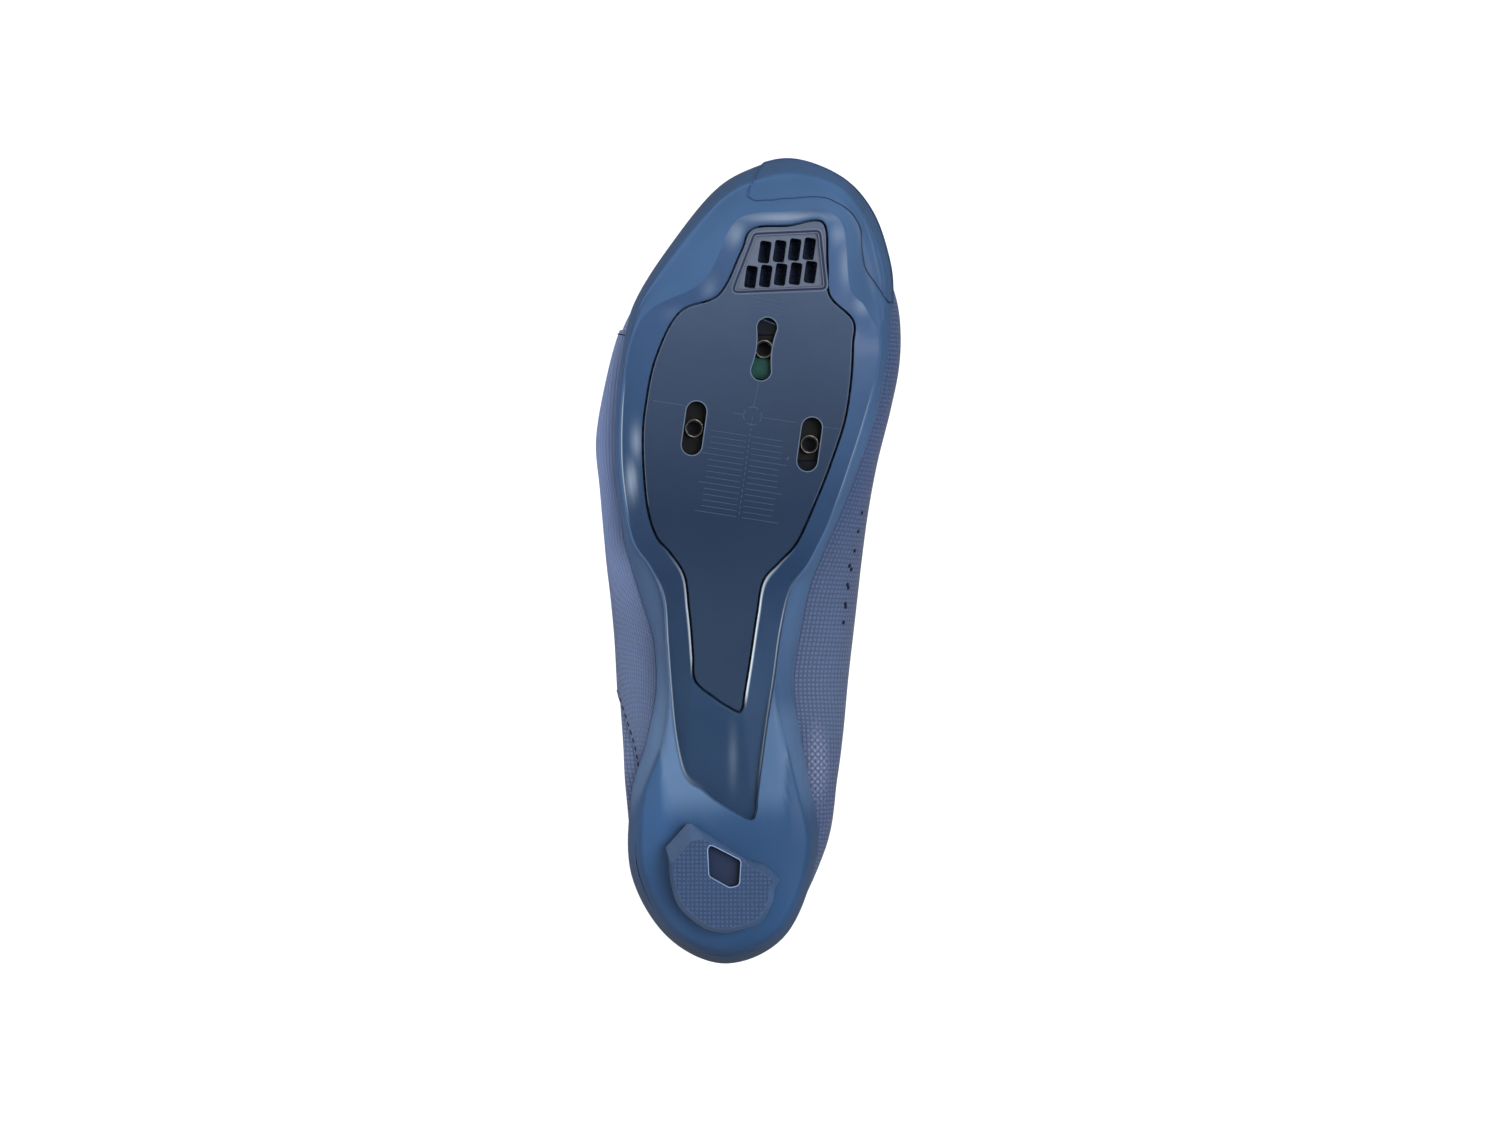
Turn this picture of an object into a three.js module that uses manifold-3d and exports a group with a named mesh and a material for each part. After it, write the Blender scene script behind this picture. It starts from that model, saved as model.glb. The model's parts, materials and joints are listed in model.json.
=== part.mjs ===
// A right cycling shoe of the three-bolt road kind, lying on its outer side.
// It is drawn standing, with X from heel to toe, Y to the inner side and Z up from the ground,
// and the whole shoe is then turned over until it rests on the edge of its sole and its upper.
import * as THREE from 'three';
import Module from 'manifold-3d';
import { mergeVertices } from 'three/addons/utils/BufferGeometryUtils.js';
import { ConvexHull } from 'three/addons/math/ConvexHull.js';

const wasm = await Module();
wasm.setup();

// Driving dimensions, in millimetres and degrees
const length = 255.4;            // heel end to toe tip
const ballWidth = 96.4;          // over the upper at the ball of the foot
const instepHeight = 98;         // ground to the top line of the ankle, as if it were closed
const archRise = 6.5;            // the waist of the sole above the ground
const toeSpring = 18;            // underside of the toe tip above the ground
const heelLift = 6.3;            // the heel of the outsole above the ground
const soleThickness = 6.5;       // outsole between the plate's face and the footbed
const rimHeight = 10;            // side of the outsole above its own underside
const rimThickness = 2.4;        // outsole's standing rim
const upperWall = 1.8;
const clearance = 0.3;           // between parts that touch
const plateThickness = 2;
const grooveWidth = 0.5;         // around the sole plate
const bandDrop = 1.4;            // how far the band beside the plate slopes up to its crease
const channelDepth = 2.2;        // sunk channel behind the plate's tail
const channelStep = 0.7;         // plan width of the channel's side
const padProud = 0.4;            // toe grip above the shell
const toeGripThickness = 1.2;
const insoleThickness = 3;
const tongueThickness = 3;
const overlayThickness = 0.8;
const strapThickness = 1.8;
const strapWidth = 20;
const rhombusDepth = 2.5;
const ventDepth = 0.6;           // the vent panel below the plate's face
const ventSlotWidth = 3.4;
const ventSlotLength = 6.6;
const slotWidth = 6.3;           // cleat bolt slots
const slotLength = 17;
const slotTilt = 8;              // degrees, heel end towards the outer side
const nutPlateThickness = 1.5;
const bossDiameter = 5.6;
const boltBore = 4.2;            // core of the M5 thread
const boltPitch = 36.4;          // between the two rear bolts
const boltSpread = 27.5;         // from the rear bolts to the front bolt
const frontSlotExtra = 3;        // the front slot is this much longer
const nutMargin = 2;             // steel beside the bosses

// Points are shares of the length and of the ball width. Plan rows run from the heel end along
// the outer side to the toe end, and back along the inner side.
// plate: edge of the sole plate, band: crease outside it, edge: where the underside ends,
// rim: top of the outsole's side, wide: widest line of the upper, sunk: part of the channel
// depth, rise: part of the rim height.
const outerRows = [
  { plate: [0.314, -0.039], band: [0.183, -0.003], edge: [0.018, -0.075],
    rim: [0.000, -0.075], wide: [0.007, -0.075], sunk: 1, rise: 2.00 },
  { plate: [0.321, -0.075], band: [0.202, -0.098], edge: [0.043, -0.243],
    rim: [0.032, -0.269], wide: [0.038, -0.259], sunk: 1, rise: 2.15 },
  { plate: [0.330, -0.111], band: [0.218, -0.154], edge: [0.116, -0.351],
    rim: [0.111, -0.391], wide: [0.113, -0.372], sunk: 1, rise: 2.30 },
  { plate: [0.352, -0.179], band: [0.235, -0.210], edge: [0.209, -0.351],
    rim: [0.209, -0.390], wide: [0.209, -0.408], sunk: 1, rise: 1.55 },
  { plate: [0.384, -0.187], band: [0.282, -0.241], edge: [0.275, -0.292],
    rim: [0.278, -0.338], wide: [0.275, -0.418], sunk: 1, rise: 0.75 },
  { plate: [0.415, -0.193], band: [0.341, -0.257], edge: [0.341, -0.267],
    rim: [0.341, -0.307], wide: [0.341, -0.430], sunk: 0.7, rise: 0.75 },
  { plate: [0.444, -0.201], band: [0.403, -0.269], edge: [0.403, -0.279],
    rim: [0.403, -0.316], wide: [0.403, -0.439], sunk: 0.4, rise: 0.75 },
  { plate: [0.483, -0.215], band: [0.456, -0.280], edge: [0.456, -0.290],
    rim: [0.456, -0.357], wide: [0.456, -0.452], sunk: 0.2, rise: 0.8 },
  { plate: [0.511, -0.262], band: [0.493, -0.321], edge: [0.494, -0.334],
    rim: [0.494, -0.387], wide: [0.494, -0.464], sunk: 0, rise: 0.85 },
  { plate: [0.532, -0.308], band: [0.528, -0.380], edge: [0.529, -0.392],
    rim: [0.530, -0.413], wide: [0.530, -0.473], sunk: 0, rise: 0.9 },
  { plate: [0.572, -0.338], band: [0.591, -0.411], edge: [0.591, -0.423],
    rim: [0.591, -0.441], wide: [0.591, -0.487], sunk: 0, rise: 0.9 },
  { plate: [0.644, -0.351], band: [0.650, -0.420], edge: [0.650, -0.431],
    rim: [0.650, -0.444], wide: [0.650, -0.499], sunk: 0, rise: 0.9 },
  { plate: [0.694, -0.341], band: [0.718, -0.410], edge: [0.718, -0.421],
    rim: [0.718, -0.434], wide: [0.718, -0.470], sunk: 0, rise: 0.9 },
  { plate: [0.752, -0.308], band: [0.778, -0.380], edge: [0.780, -0.393],
    rim: [0.782, -0.408], wide: [0.782, -0.425], sunk: 0, rise: 0.9 },
  { plate: [0.808, -0.231], band: [0.814, -0.316], edge: [0.825, -0.351],
    rim: [0.825, -0.374], wide: [0.824, -0.368], sunk: 0, rise: 0.95 },
  { plate: [0.830, -0.102], band: [0.847, -0.151], edge: [0.881, -0.252],
    rim: [0.883, -0.280], wide: [0.878, -0.262], sunk: 0, rise: 1.0 },
  { plate: [0.883, -0.030], band: [0.913, -0.062], edge: [0.946, -0.108],
    rim: [0.957, -0.128], wide: [0.950, -0.111], sunk: 0, rise: 1.1 },
  { plate: [0.912, 0.008], band: [0.930, 0.007], edge: [0.972, 0.003],
    rim: [0.988, -0.003], wide: [0.978, 0.007], sunk: 0, rise: 1.1 },
];
const toeEnd = {
  plate: [0.916, 0.125], band: [0.933, 0.118], edge: [0.983, 0.134],
  rim: [1.000, 0.141], wide: [0.990, 0.138], sunk: 0, rise: 1.1,
};
const innerRows = [
  { plate: [0.317, -0.028], band: [0.191, 0.016], edge: [0.050, 0.102],
    rim: [0.038, 0.123], wide: [0.043, 0.116], sunk: 1, rise: 1.95 },
  { plate: [0.322, -0.023], band: [0.205, 0.020], edge: [0.143, 0.190],
    rim: [0.143, 0.223], wide: [0.143, 0.251], sunk: 1, rise: 1.8 },
  { plate: [0.331, -0.020], band: [0.230, 0.028], edge: [0.230, 0.154],
    rim: [0.230, 0.193], wide: [0.230, 0.289], sunk: 1, rise: 1.4 },
  { plate: [0.378, 0.000], band: [0.298, 0.052], edge: [0.282, 0.118],
    rim: [0.291, 0.161], wide: [0.285, 0.308], sunk: 0.9, rise: 1.1 },
  { plate: [0.436, 0.023], band: [0.353, 0.075], edge: [0.353, 0.084],
    rim: [0.353, 0.139], wide: [0.353, 0.325], sunk: 0.6, rise: 1.0 },
  { plate: [0.476, 0.043], band: [0.415, 0.098], edge: [0.415, 0.107],
    rim: [0.415, 0.164], wide: [0.415, 0.344], sunk: 0.35, rise: 1.0 },
  { plate: [0.499, 0.095], band: [0.467, 0.131], edge: [0.465, 0.141],
    rim: [0.465, 0.192], wide: [0.465, 0.359], sunk: 0.15, rise: 1.0 },
  { plate: [0.525, 0.156], band: [0.502, 0.193], edge: [0.499, 0.203],
    rim: [0.502, 0.230], wide: [0.502, 0.370], sunk: 0, rise: 1.0 },
  { plate: [0.581, 0.223], band: [0.561, 0.269], edge: [0.560, 0.279],
    rim: [0.561, 0.300], wide: [0.560, 0.390], sunk: 0, rise: 1.0 },
  { plate: [0.626, 0.269], band: [0.623, 0.328], edge: [0.622, 0.338],
    rim: [0.622, 0.361], wide: [0.622, 0.420], sunk: 0, rise: 0.95 },
  { plate: [0.675, 0.311], band: [0.685, 0.380], edge: [0.684, 0.390],
    rim: [0.684, 0.415], wide: [0.684, 0.461], sunk: 0, rise: 0.9 },
  { plate: [0.725, 0.331], band: [0.737, 0.415], edge: [0.737, 0.425],
    rim: [0.737, 0.444], wide: [0.737, 0.490], sunk: 0, rise: 0.9 },
  { plate: [0.768, 0.337], band: [0.780, 0.420], edge: [0.780, 0.433],
    rim: [0.782, 0.459], wide: [0.782, 0.497], sunk: 0, rise: 0.9 },
  { plate: [0.798, 0.337], band: [0.815, 0.374], edge: [0.824, 0.443],
    rim: [0.824, 0.466], wide: [0.824, 0.485], sunk: 0, rise: 0.95 },
  { plate: [0.829, 0.261], band: [0.841, 0.325], edge: [0.869, 0.436],
    rim: [0.871, 0.457], wide: [0.868, 0.446], sunk: 0, rise: 1.0 },
  { plate: [0.871, 0.254], band: [0.915, 0.305], edge: [0.925, 0.384],
    rim: [0.933, 0.403], wide: [0.925, 0.387], sunk: 0, rise: 1.1 },
  { plate: [0.920, 0.239], band: [0.936, 0.233], edge: [0.967, 0.289],
    rim: [0.977, 0.302], wide: [0.970, 0.289], sunk: 0, rise: 1.1 },
];

// Underside of the sole: at is a share of the length, the others of the named heights
const treadRows = [
  { at: 0.00, heel: 1.25, arch: 0, toe: 0 },
  { at: 0.04, heel: 1.08, arch: 0, toe: 0 },
  { at: 0.08, heel: 1.00, arch: 0, toe: 0 },
  { at: 0.24, heel: 1.00, arch: 0, toe: 0 },
  { at: 0.30, heel: 0.55, arch: 0.50, toe: 0 },
  { at: 0.36, heel: 0.20, arch: 0.85, toe: 0 },
  { at: 0.42, heel: 0, arch: 1.00, toe: 0 },
  { at: 0.48, heel: 0, arch: 0.82, toe: 0 },
  { at: 0.54, heel: 0, arch: 0.45, toe: 0 },
  { at: 0.60, heel: 0, arch: 0.12, toe: 0 },
  { at: 0.63, heel: 0, arch: 0, toe: 0 },
  { at: 0.72, heel: 0, arch: 0, toe: 0 },
  { at: 0.78, heel: 0, arch: 0, toe: 0.05 },
  { at: 0.83, heel: 0, arch: 0, toe: 0.20 },
  { at: 0.88, heel: 0, arch: 0, toe: 0.42 },
  { at: 0.94, heel: 0, arch: 0, toe: 0.70 },
  { at: 1.00, heel: 0, arch: 0, toe: 1.00 },
];

// Upper, a row per section from the heel end to the toe end. top is the section's highest
// point, lowOuter and lowInner the height of its widest line, fullOuter and fullInner how
// square its shoulders are, cut the part of its height that the collar or throat leaves.
const upperRows = [
  { top: [0.235, -0.068, 1.00], lowOuter: 0.4, lowInner: 0.40, fullOuter: 2.9, fullInner: 2.9, cut: 0.50 },
  { top: [0.235, -0.068, 1.00], lowOuter: 0.38, lowInner: 0.38, fullOuter: 2, fullInner: 2.5, cut: 0.48 },
  { top: [0.240, -0.068, 1.00], lowOuter: 0.325, lowInner: 0.34, fullOuter: 1.38, fullInner: 2.0, cut: 0.50 },
  { top: [0.260, -0.068, 1.00], lowOuter: 0.243, lowInner: 0.32, fullOuter: 1.35, fullInner: 1.8, cut: 0.52 },
  { top: [0.300, -0.062, 0.98], lowOuter: 0.2, lowInner: 0.32, fullOuter: 1.5, fullInner: 1.8, cut: 0.58 },
  { top: [0.355, -0.055, 0.93], lowOuter: 0.185, lowInner: 0.34, fullOuter: 1.7, fullInner: 1.85, cut: 0.74 },
  { top: [0.410, -0.045, 0.875], lowOuter: 0.18, lowInner: 0.36, fullOuter: 1.75, fullInner: 1.9, cut: 0.85 },
  { top: [0.465, -0.035, 0.82], lowOuter: 0.175, lowInner: 0.36, fullOuter: 1.8, fullInner: 2.0, cut: 0.88 },
  { top: [0.505, -0.025, 0.775], lowOuter: 0.17, lowInner: 0.34, fullOuter: 1.8, fullInner: 2.0, cut: 0.90 },
  { top: [0.550, -0.010, 0.73], lowOuter: 0.16, lowInner: 0.30, fullOuter: 1.8, fullInner: 2.05, cut: 0.92 },
  { top: [0.610, 0.005, 0.675], lowOuter: 0.15, lowInner: 0.27, fullOuter: 1.85, fullInner: 2.1, cut: 0.945 },
  { top: [0.665, 0.020, 0.62], lowOuter: 0.14, lowInner: 0.25, fullOuter: 1.95, fullInner: 2.15, cut: 0.975 },
  { top: [0.725, 0.035, 0.575], lowOuter: 0.14, lowInner: 0.245, fullOuter: 2, fullInner: 2.2, cut: 1 },
  { top: [0.780, 0.050, 0.54], lowOuter: 0.155, lowInner: 0.245, fullOuter: 2.2, fullInner: 2.2, cut: 1 },
  { top: [0.825, 0.070, 0.52], lowOuter: 0.2, lowInner: 0.265, fullOuter: 2.2, fullInner: 2.2, cut: 1 },
  { top: [0.868, 0.090, 0.505], lowOuter: 0.26, lowInner: 0.295, fullOuter: 2.2, fullInner: 2.2, cut: 1 },
  { top: [0.905, 0.115, 0.485], lowOuter: 0.32, lowInner: 0.335, fullOuter: 2.2, fullInner: 2.2, cut: 1 },
  { top: [0.930, 0.130, 0.465], lowOuter: 0.35, lowInner: 0.355, fullOuter: 2.2, fullInner: 2.2, cut: 1 },
  { top: [0.930, 0.130, 0.465], lowOuter: 0.365, lowInner: 0.365, fullOuter: 2.2, fullInner: 2.2, cut: 1 },
];

// Outlines on the underside, as shares of the length and of the ball width
const toeGripOutline = [
  [0.994, 0.043], [0.972, 0.000], [0.955, -0.012], [0.946, 0.010], [0.949, 0.115], [0.952, 0.213],
  [0.950, 0.256], [0.940, 0.308], [0.930, 0.338], [0.912, 0.364], [0.882, 0.367], [0.862, 0.377],
  [0.820, 0.452], [0.805, 0.560], [1.080, 0.560], [1.080, 0.043],
];
const heelPadBase = [
  [0.176, -0.207], [0.176, -0.190], [0.137, -0.030], [0.130, 0.000], [0.127, 0.040], [0.117, 0.075],
  [0.108, 0.098], [0.094, 0.080], [0.080, 0.075], [0.058, 0.044], [0.049, 0.006], [0.043, -0.053],
  [0.041, -0.090], [0.046, -0.146], [0.060, -0.200], [0.078, -0.240], [0.106, -0.261],
  [0.128, -0.266], [0.147, -0.276],
];
const heelPadFace = [
  [0.155, -0.193], [0.153, -0.183], [0.126, -0.030], [0.122, -0.004], [0.118, 0.030], [0.112, 0.060],
  [0.107, 0.079], [0.095, 0.066], [0.082, 0.061], [0.062, 0.034], [0.054, 0.000], [0.048, -0.053],
  [0.046, -0.088], [0.051, -0.138], [0.064, -0.188], [0.080, -0.224], [0.104, -0.246],
  [0.122, -0.255], [0.127, -0.258],
];
const rhombusOutline = [[0.152, -0.138], [0.131, -0.031], [0.101, -0.036], [0.098, -0.066], [0.112, -0.133]];
const ventOutline = [
  [0.908, 0.016], [0.913, 0.225], [0.911, 0.236], [0.849, 0.240], [0.844, 0.228], [0.837, -0.036],
  [0.844, -0.052],
];
const ventSlots = [
  [0.883, 0.048], [0.884, 0.097], [0.886, 0.146], [0.887, 0.194],
  [0.852, 0.003], [0.853, 0.051], [0.855, 0.100], [0.856, 0.149], [0.858, 0.198],
];

// The bolts follow the ball of the foot
const boltRear = 0.65466 * length;
const boltFront = boltRear + boltSpread;
const spare = rimHeight / 10;    // how far a cutter reaches past what it cuts
const deep = 6 * rimHeight;      // a cutter through the whole sole

// Shares become millimetres
const plan = ([x, y]) => [x * length, y * ballWidth];

// Smooth value through evenly counted rows, at a fractional row
function between(values, at, closed = false) {
  const n = values.length;
  const pick = (i) => (closed ? values[((i % n) + n) % n] : values[Math.min(n - 1, Math.max(0, i))]);
  const i = Math.floor(at);
  const u = at - i;
  const [a, b, c, d] = [pick(i - 1), pick(i), pick(i + 1), pick(i + 2)];
  return b + 0.5 * u * (c - a + u * (2 * a - 5 * b + 4 * c - d + u * (3 * (b - c) + d - a)));
}

// Height of the underside at a distance from the heel end
function tread(x) {
  const share = Math.min(1, Math.max(0, x / length));
  let i = treadRows.findIndex((row) => row.at >= share);
  i = Math.max(1, i);
  const [a, b] = [treadRows[i - 1], treadRows[i]];
  const u = (share - a.at) / (b.at - a.at);
  const height = (row) => row.heel * heelLift + row.arch * archRise + row.toe * toeSpring;
  return height(a) + (height(b) - height(a)) * u;
}
const footbed = (x) => tread(x) + soleThickness;

// The sections of the two sides, both from the heel end to the toe end
const sides = {
  outer: [...outerRows, toeEnd],
  inner: [outerRows[0], ...innerRows, toeEnd],
};
const lastRow = upperRows.length - 1;
const stepsPerRow = 2;
const stations = lastRow * stepsPerRow;

function spot(side, column, at) {
  const rows = sides[side];
  return [
    between(rows.map((row) => row[column][0]), at) * length,
    between(rows.map((row) => row[column][1]), at) * ballWidth,
  ];
}
const share = (side, column, at) => between(sides[side].map((row) => row[column]), at);

// All stations of one plan line, around the shoe from the heel end by way of the toe
function around(place) {
  const line = [];
  for (let i = 0; i <= stations; i += 1) line.push(place('outer', i / stepsPerRow));
  for (let i = stations - 1; i > 0; i -= 1) line.push(place('inner', i / stepsPerRow));
  return line;
}

// Moves a plan line outwards by an amount, square to itself
function spread(line, amount) {
  const n = line.length;
  return line.map((p, i) => {
    const [a, b] = [line[(i + n - 1) % n], line[(i + 1) % n]];
    const [dx, dy] = [b[0] - a[0], b[1] - a[1]];
    const size = Math.hypot(dx, dy) || 1;
    return [p[0] + (dy / size) * amount, p[1] - (dx / size) * amount];
  });
}

function meshOf(vertices, faces) {
  const geometry = new THREE.BufferGeometry();
  geometry.setAttribute('position', new THREE.Float32BufferAttribute(vertices.flat(), 3));
  geometry.setIndex(faces.flat());
  return geometry;
}

function solidOf(geometry) {
  const bare = geometry.clone();
  bare.deleteAttribute('normal');
  bare.deleteAttribute('uv');
  const merged = mergeVertices(bare, 1e-4);
  const index = [...merged.index.array];
  const position = merged.attributes.position;
  const kept = [];
  let volume = 0;
  const point = (i) => new THREE.Vector3().fromBufferAttribute(position, i);
  for (let i = 0; i < index.length; i += 3) {
    const [a, b, c] = index.slice(i, i + 3);
    if (a === b || b === c || a === c) continue;
    kept.push([a, b, c]);
    volume += point(a).dot(point(b).cross(point(c)));
  }
  const faces = volume < 0 ? kept.map(([a, b, c]) => [a, c, b]) : kept;
  return new wasm.Manifold(new wasm.Mesh({
    numProp: 3,
    vertProperties: new Float32Array(position.array),
    triVerts: new Uint32Array(faces.flat()),
  }));
}

function geometryOf(solid) {
  const mesh = solid.getMesh();
  const geometry = new THREE.BufferGeometry();
  const coordinates = new Float32Array(mesh.numVert * 3);
  for (let i = 0; i < mesh.numVert; i += 1) {
    for (let k = 0; k < 3; k += 1) coordinates[i * 3 + k] = mesh.vertProperties[i * mesh.numProp + k];
  }
  geometry.setAttribute('position', new THREE.BufferAttribute(coordinates, 3));
  geometry.setIndex(new THREE.BufferAttribute(new Uint32Array(mesh.triVerts), 1));
  return geometry;
}

// A solid through plan lines at their heights, closed below and above by rungs across the shoe
function lofted(loops) {
  const n = loops[0].length;
  const vertices = loops.flat();
  const faces = [];
  for (let k = 0; k < loops.length - 1; k += 1) {
    for (let i = 0; i < n; i += 1) {
      const j = (i + 1) % n;
      const [a, b, c, d] = [k * n + i, k * n + j, (k + 1) * n + j, (k + 1) * n + i];
      faces.push([a, b, c], [a, c, d]);
    }
  }
  for (const [base, turned] of [[0, true], [(loops.length - 1) * n, false]]) {
    for (let i = 0; i < n / 2; i += 1) {
      const [a, b, c, d] = [i, i + 1, n - i - 1, (n - i) % n].map((v) => base + v);
      const pair = [[a, b, c], [a, c, d]];
      faces.push(...(turned ? pair.map(([p, q, r]) => [p, r, q]) : pair));
    }
  }
  return solidOf(meshOf(vertices, faces));
}

const lift = (line, height) => line.map((p, i) => [p[0], p[1], height(p, i)]);
const mix = (a, b, u) => a.map((p, i) => [p[0] + (b[i][0] - p[0]) * u, p[1] + (b[i][1] - p[1]) * u]);

// Plan lines of the outsole
const plateLine = around((side, at) => spot(side, 'plate', at));
const bandLine = around((side, at) => spot(side, 'band', at));
const edgeLine = around((side, at) => spot(side, 'edge', at));
const rimLine = around((side, at) => spot(side, 'rim', at));
const sunkShares = around((side, at) => share(side, 'sunk', at));
const riseShares = around((side, at) => share(side, 'rise', at));
const rimTop = (p, i) => tread(p[0]) + riseShares[i] * rimHeight;

// The outsole's outer form, filled, with its skin moved inwards by an inset
function soleForm(inset = 0, over = 0) {
  const shrink = (line) => spread(line, -inset);
  const up = (extra) => (p, i) => tread(p[0]) + extra(i) + inset;
  const edge = shrink(edgeLine);
  const rim = shrink(rimLine);
  const sunk = (i) => sunkShares[i];
  const crease = spread(bandLine, channelStep);
  const raised = (part) => (p, i) => {
    const low = tread(p[0]) + 0.16 * rimHeight + inset;
    return low + (rimTop(p, i) - low) * part;
  };
  return lofted([
    lift(spread(plateLine, grooveWidth), up(() => 0)),
    lift(bandLine, up((i) => bandDrop * (1 - sunk(i)) + channelDepth * sunk(i))),
    lift(crease, up((i) => bandDrop * (1 - sunk(i)))),
    lift(mix(crease, edge, 0.5), up((i) => bandDrop * (1 - sunk(i)) + 0.02 * rimHeight)),
    lift(mix(crease, edge, 0.85), up((i) => bandDrop * (1 - sunk(i)) * 0.8 + 0.07 * rimHeight)),
    lift(edge, raised(0)),
    lift(mix(edge, rim, 0.6), raised(0.4)),
    lift(rim, raised(0.85)),
    lift(rim, (p, i) => rimTop(p, i) + over),
  ]);
}

// Room inside the standing rim, down to the footbed
const seatLine = spread(rimLine, -rimThickness);
const insideRim = lofted([
  lift(seatLine, (p) => footbed(p[0])),
  lift(seatLine, (p, i) => rimTop(p, i) + rimHeight),
]);

// A prism on an outline of shares, grown by an amount, between two heights
function prism(outline, low, high, amount = 0) {
  const flat = outline.map(plan);
  const clockwise = THREE.ShapeUtils.isClockWise(flat.map((p) => new THREE.Vector2(...p)));
  const points = spread(flat, clockwise ? -amount : amount).map((p) => new THREE.Vector2(...p));
  const geometry = new THREE.ExtrudeGeometry(new THREE.Shape(points), {
    depth: high - low,
    bevelEnabled: false,
    steps: 1,
  });
  geometry.translate(0, 0, low);
  return solidOf(geometry);
}

// A long hole with round ends: turned in plan, from one height to another
function longHole(x, y, along, width, turn, low, high) {
  const reach = (along - width) / 2;
  const shape = new THREE.Shape();
  shape.absarc(reach, 0, width / 2, -Math.PI / 2, Math.PI / 2, false);
  shape.absarc(-reach, 0, width / 2, Math.PI / 2, Math.PI * 1.5, false);
  const settings = { depth: high - low, bevelEnabled: false, curveSegments: 5 };
  const geometry = new THREE.ExtrudeGeometry(shape, settings);
  geometry.rotateZ(turn);
  geometry.translate(x, y, low);
  return solidOf(geometry);
}

const join = (solids) => solids.reduce((all, solid) => all.add(solid));
const tilt = THREE.MathUtils.degToRad(slotTilt);
const boltMiddle = 0.006 * ballWidth;
const bolts = [
  { x: boltRear + Math.sin(tilt) * boltPitch / 2, y: boltMiddle - boltPitch / 2, reach: slotLength },
  { x: boltRear - Math.sin(tilt) * boltPitch / 2, y: boltMiddle + boltPitch / 2, reach: slotLength },
  { x: boltFront, y: boltMiddle + 0.04 * ballWidth, reach: slotLength + frontSlotExtra },
];
const cleatSlots = join(bolts.map((bolt) => longHole(
  bolt.x, bolt.y, bolt.reach, slotWidth, tilt, -deep, plateThickness + soleThickness / 2,
)));
const ventHoles = join(ventSlots.map((p) => longHole(
  ...plan(p), ventSlotLength, ventSlotWidth, tilt, -deep, deep,
)));

// Sole plate: a slab in the outsole's recess, with the vent panel sunk in its front
const plateLow = spread(plateLine, -grooveWidth / 2);
const slab = lofted([
  lift(plateLow, (p) => tread(p[0])),
  lift(plateLow, (p) => tread(p[0]) + plateThickness),
]);
const ventPanel = lofted([
  lift(plateLow, (p) => tread(p[0]) - rimHeight / 2),
  lift(plateLow, (p) => tread(p[0]) + ventDepth),
]).intersect(prism(ventOutline, -deep, deep));
const solePlate = slab.subtract(ventPanel).subtract(cleatSlots).subtract(ventHoles);

const recessLine = spread(plateLine, grooveWidth / 2);
const recess = lofted([
  lift(recessLine, (p) => tread(p[0]) - rimHeight / 2),
  lift(recessLine, (p) => tread(p[0]) + plateThickness + clearance),
]);

// Nut plate: a thin steel T behind the sole plate, with three threaded bosses in the slots
const nutFront = boltFront + bossDiameter / 2 + 0.75 * nutMargin;
const nutLow = tread(nutFront) + plateThickness + 2 * clearance;
const nutOutline = (gap) => {
  const half = boltPitch / 2 + bossDiameter + gap;
  const rear = boltRear - bossDiameter - nutMargin - gap;
  const front = nutFront + gap;
  const middle = boltRear + bossDiameter + 2 * nutMargin + gap;
  const narrow = bossDiameter + 1.5 * nutMargin + gap;
  return [
    [rear, boltMiddle - half], [rear, boltMiddle + half], [middle, boltMiddle + half],
    [front, boltMiddle + narrow], [front, boltMiddle - narrow], [middle, boltMiddle - half],
  ].map(([x, y]) => [x / length, y / ballWidth]);
};
const nutTop = nutLow + nutPlateThickness;
const nutPocket = prism(nutOutline(clearance), nutLow - plateThickness, nutTop + clearance);
const disc = (bolt, diameter, low, high) => {
  const geometry = new THREE.CylinderGeometry(diameter / 2, diameter / 2, high - low, 18);
  geometry.rotateX(Math.PI / 2);
  geometry.translate(bolt.x, bolt.y, (low + high) / 2);
  return solidOf(geometry);
};
const nutPlate = join([
  prism(nutOutline(0), nutLow, nutTop),
  ...bolts.map((bolt) => disc(bolt, bossDiameter, plateThickness * 0.55, nutTop)),
]).subtract(join(bolts.map((bolt) => disc(bolt, boltBore, -spare, nutTop + spare))));

// Toe grip: a soft skin let into the shell's big-toe corner
const gripSkin = soleForm(-padProud).subtract(soleForm(toeGripThickness, spare));
const toeGrip = gripSkin.intersect(prism(toeGripOutline, -spare, deep)).subtract(insideRim);
const gripRoom = prism(toeGripOutline, -spare, deep, clearance)
  .subtract(soleForm(toeGripThickness + clearance, spare));

// Heel pad: a lug with a chamfered nose, a flat face and a rhombic hollow
function lug(base, face, low, high) {
  const n = base.length;
  const shoulder = low + (high - low) * 0.6;
  const points = [
    ...face.map((p) => [...plan(p), low]),
    ...base.map((p) => [...plan(p), shoulder]),
    ...base.map((p) => [...plan(p), high]),
  ];
  const faces = [];
  for (let k = 0; k < 2; k += 1) {
    for (let i = 0; i < n; i += 1) {
      const j = (i + 1) % n;
      const [a, b, c, d] = [k * n + i, k * n + j, (k + 1) * n + j, (k + 1) * n + i];
      faces.push([a, b, c], [a, c, d]);
    }
  }
  const flat = (outline) => outline.map((p) => new THREE.Vector2(...plan(p)));
  const cap = (outline) => THREE.ShapeUtils.triangulateShape(flat(outline), []);
  faces.push(...cap(face).map(([a, b, c]) => [a, c, b]));
  faces.push(...cap(base).map(([a, b, c]) => [a + 2 * n, b + 2 * n, c + 2 * n]));
  const clockwise = THREE.ShapeUtils.isClockWise(flat(base));
  const turned = faces.map((f, i) => (i < 4 * n ? [f[0], f[2], f[1]] : f));
  return solidOf(meshOf(points, clockwise ? turned : faces));
}
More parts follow.
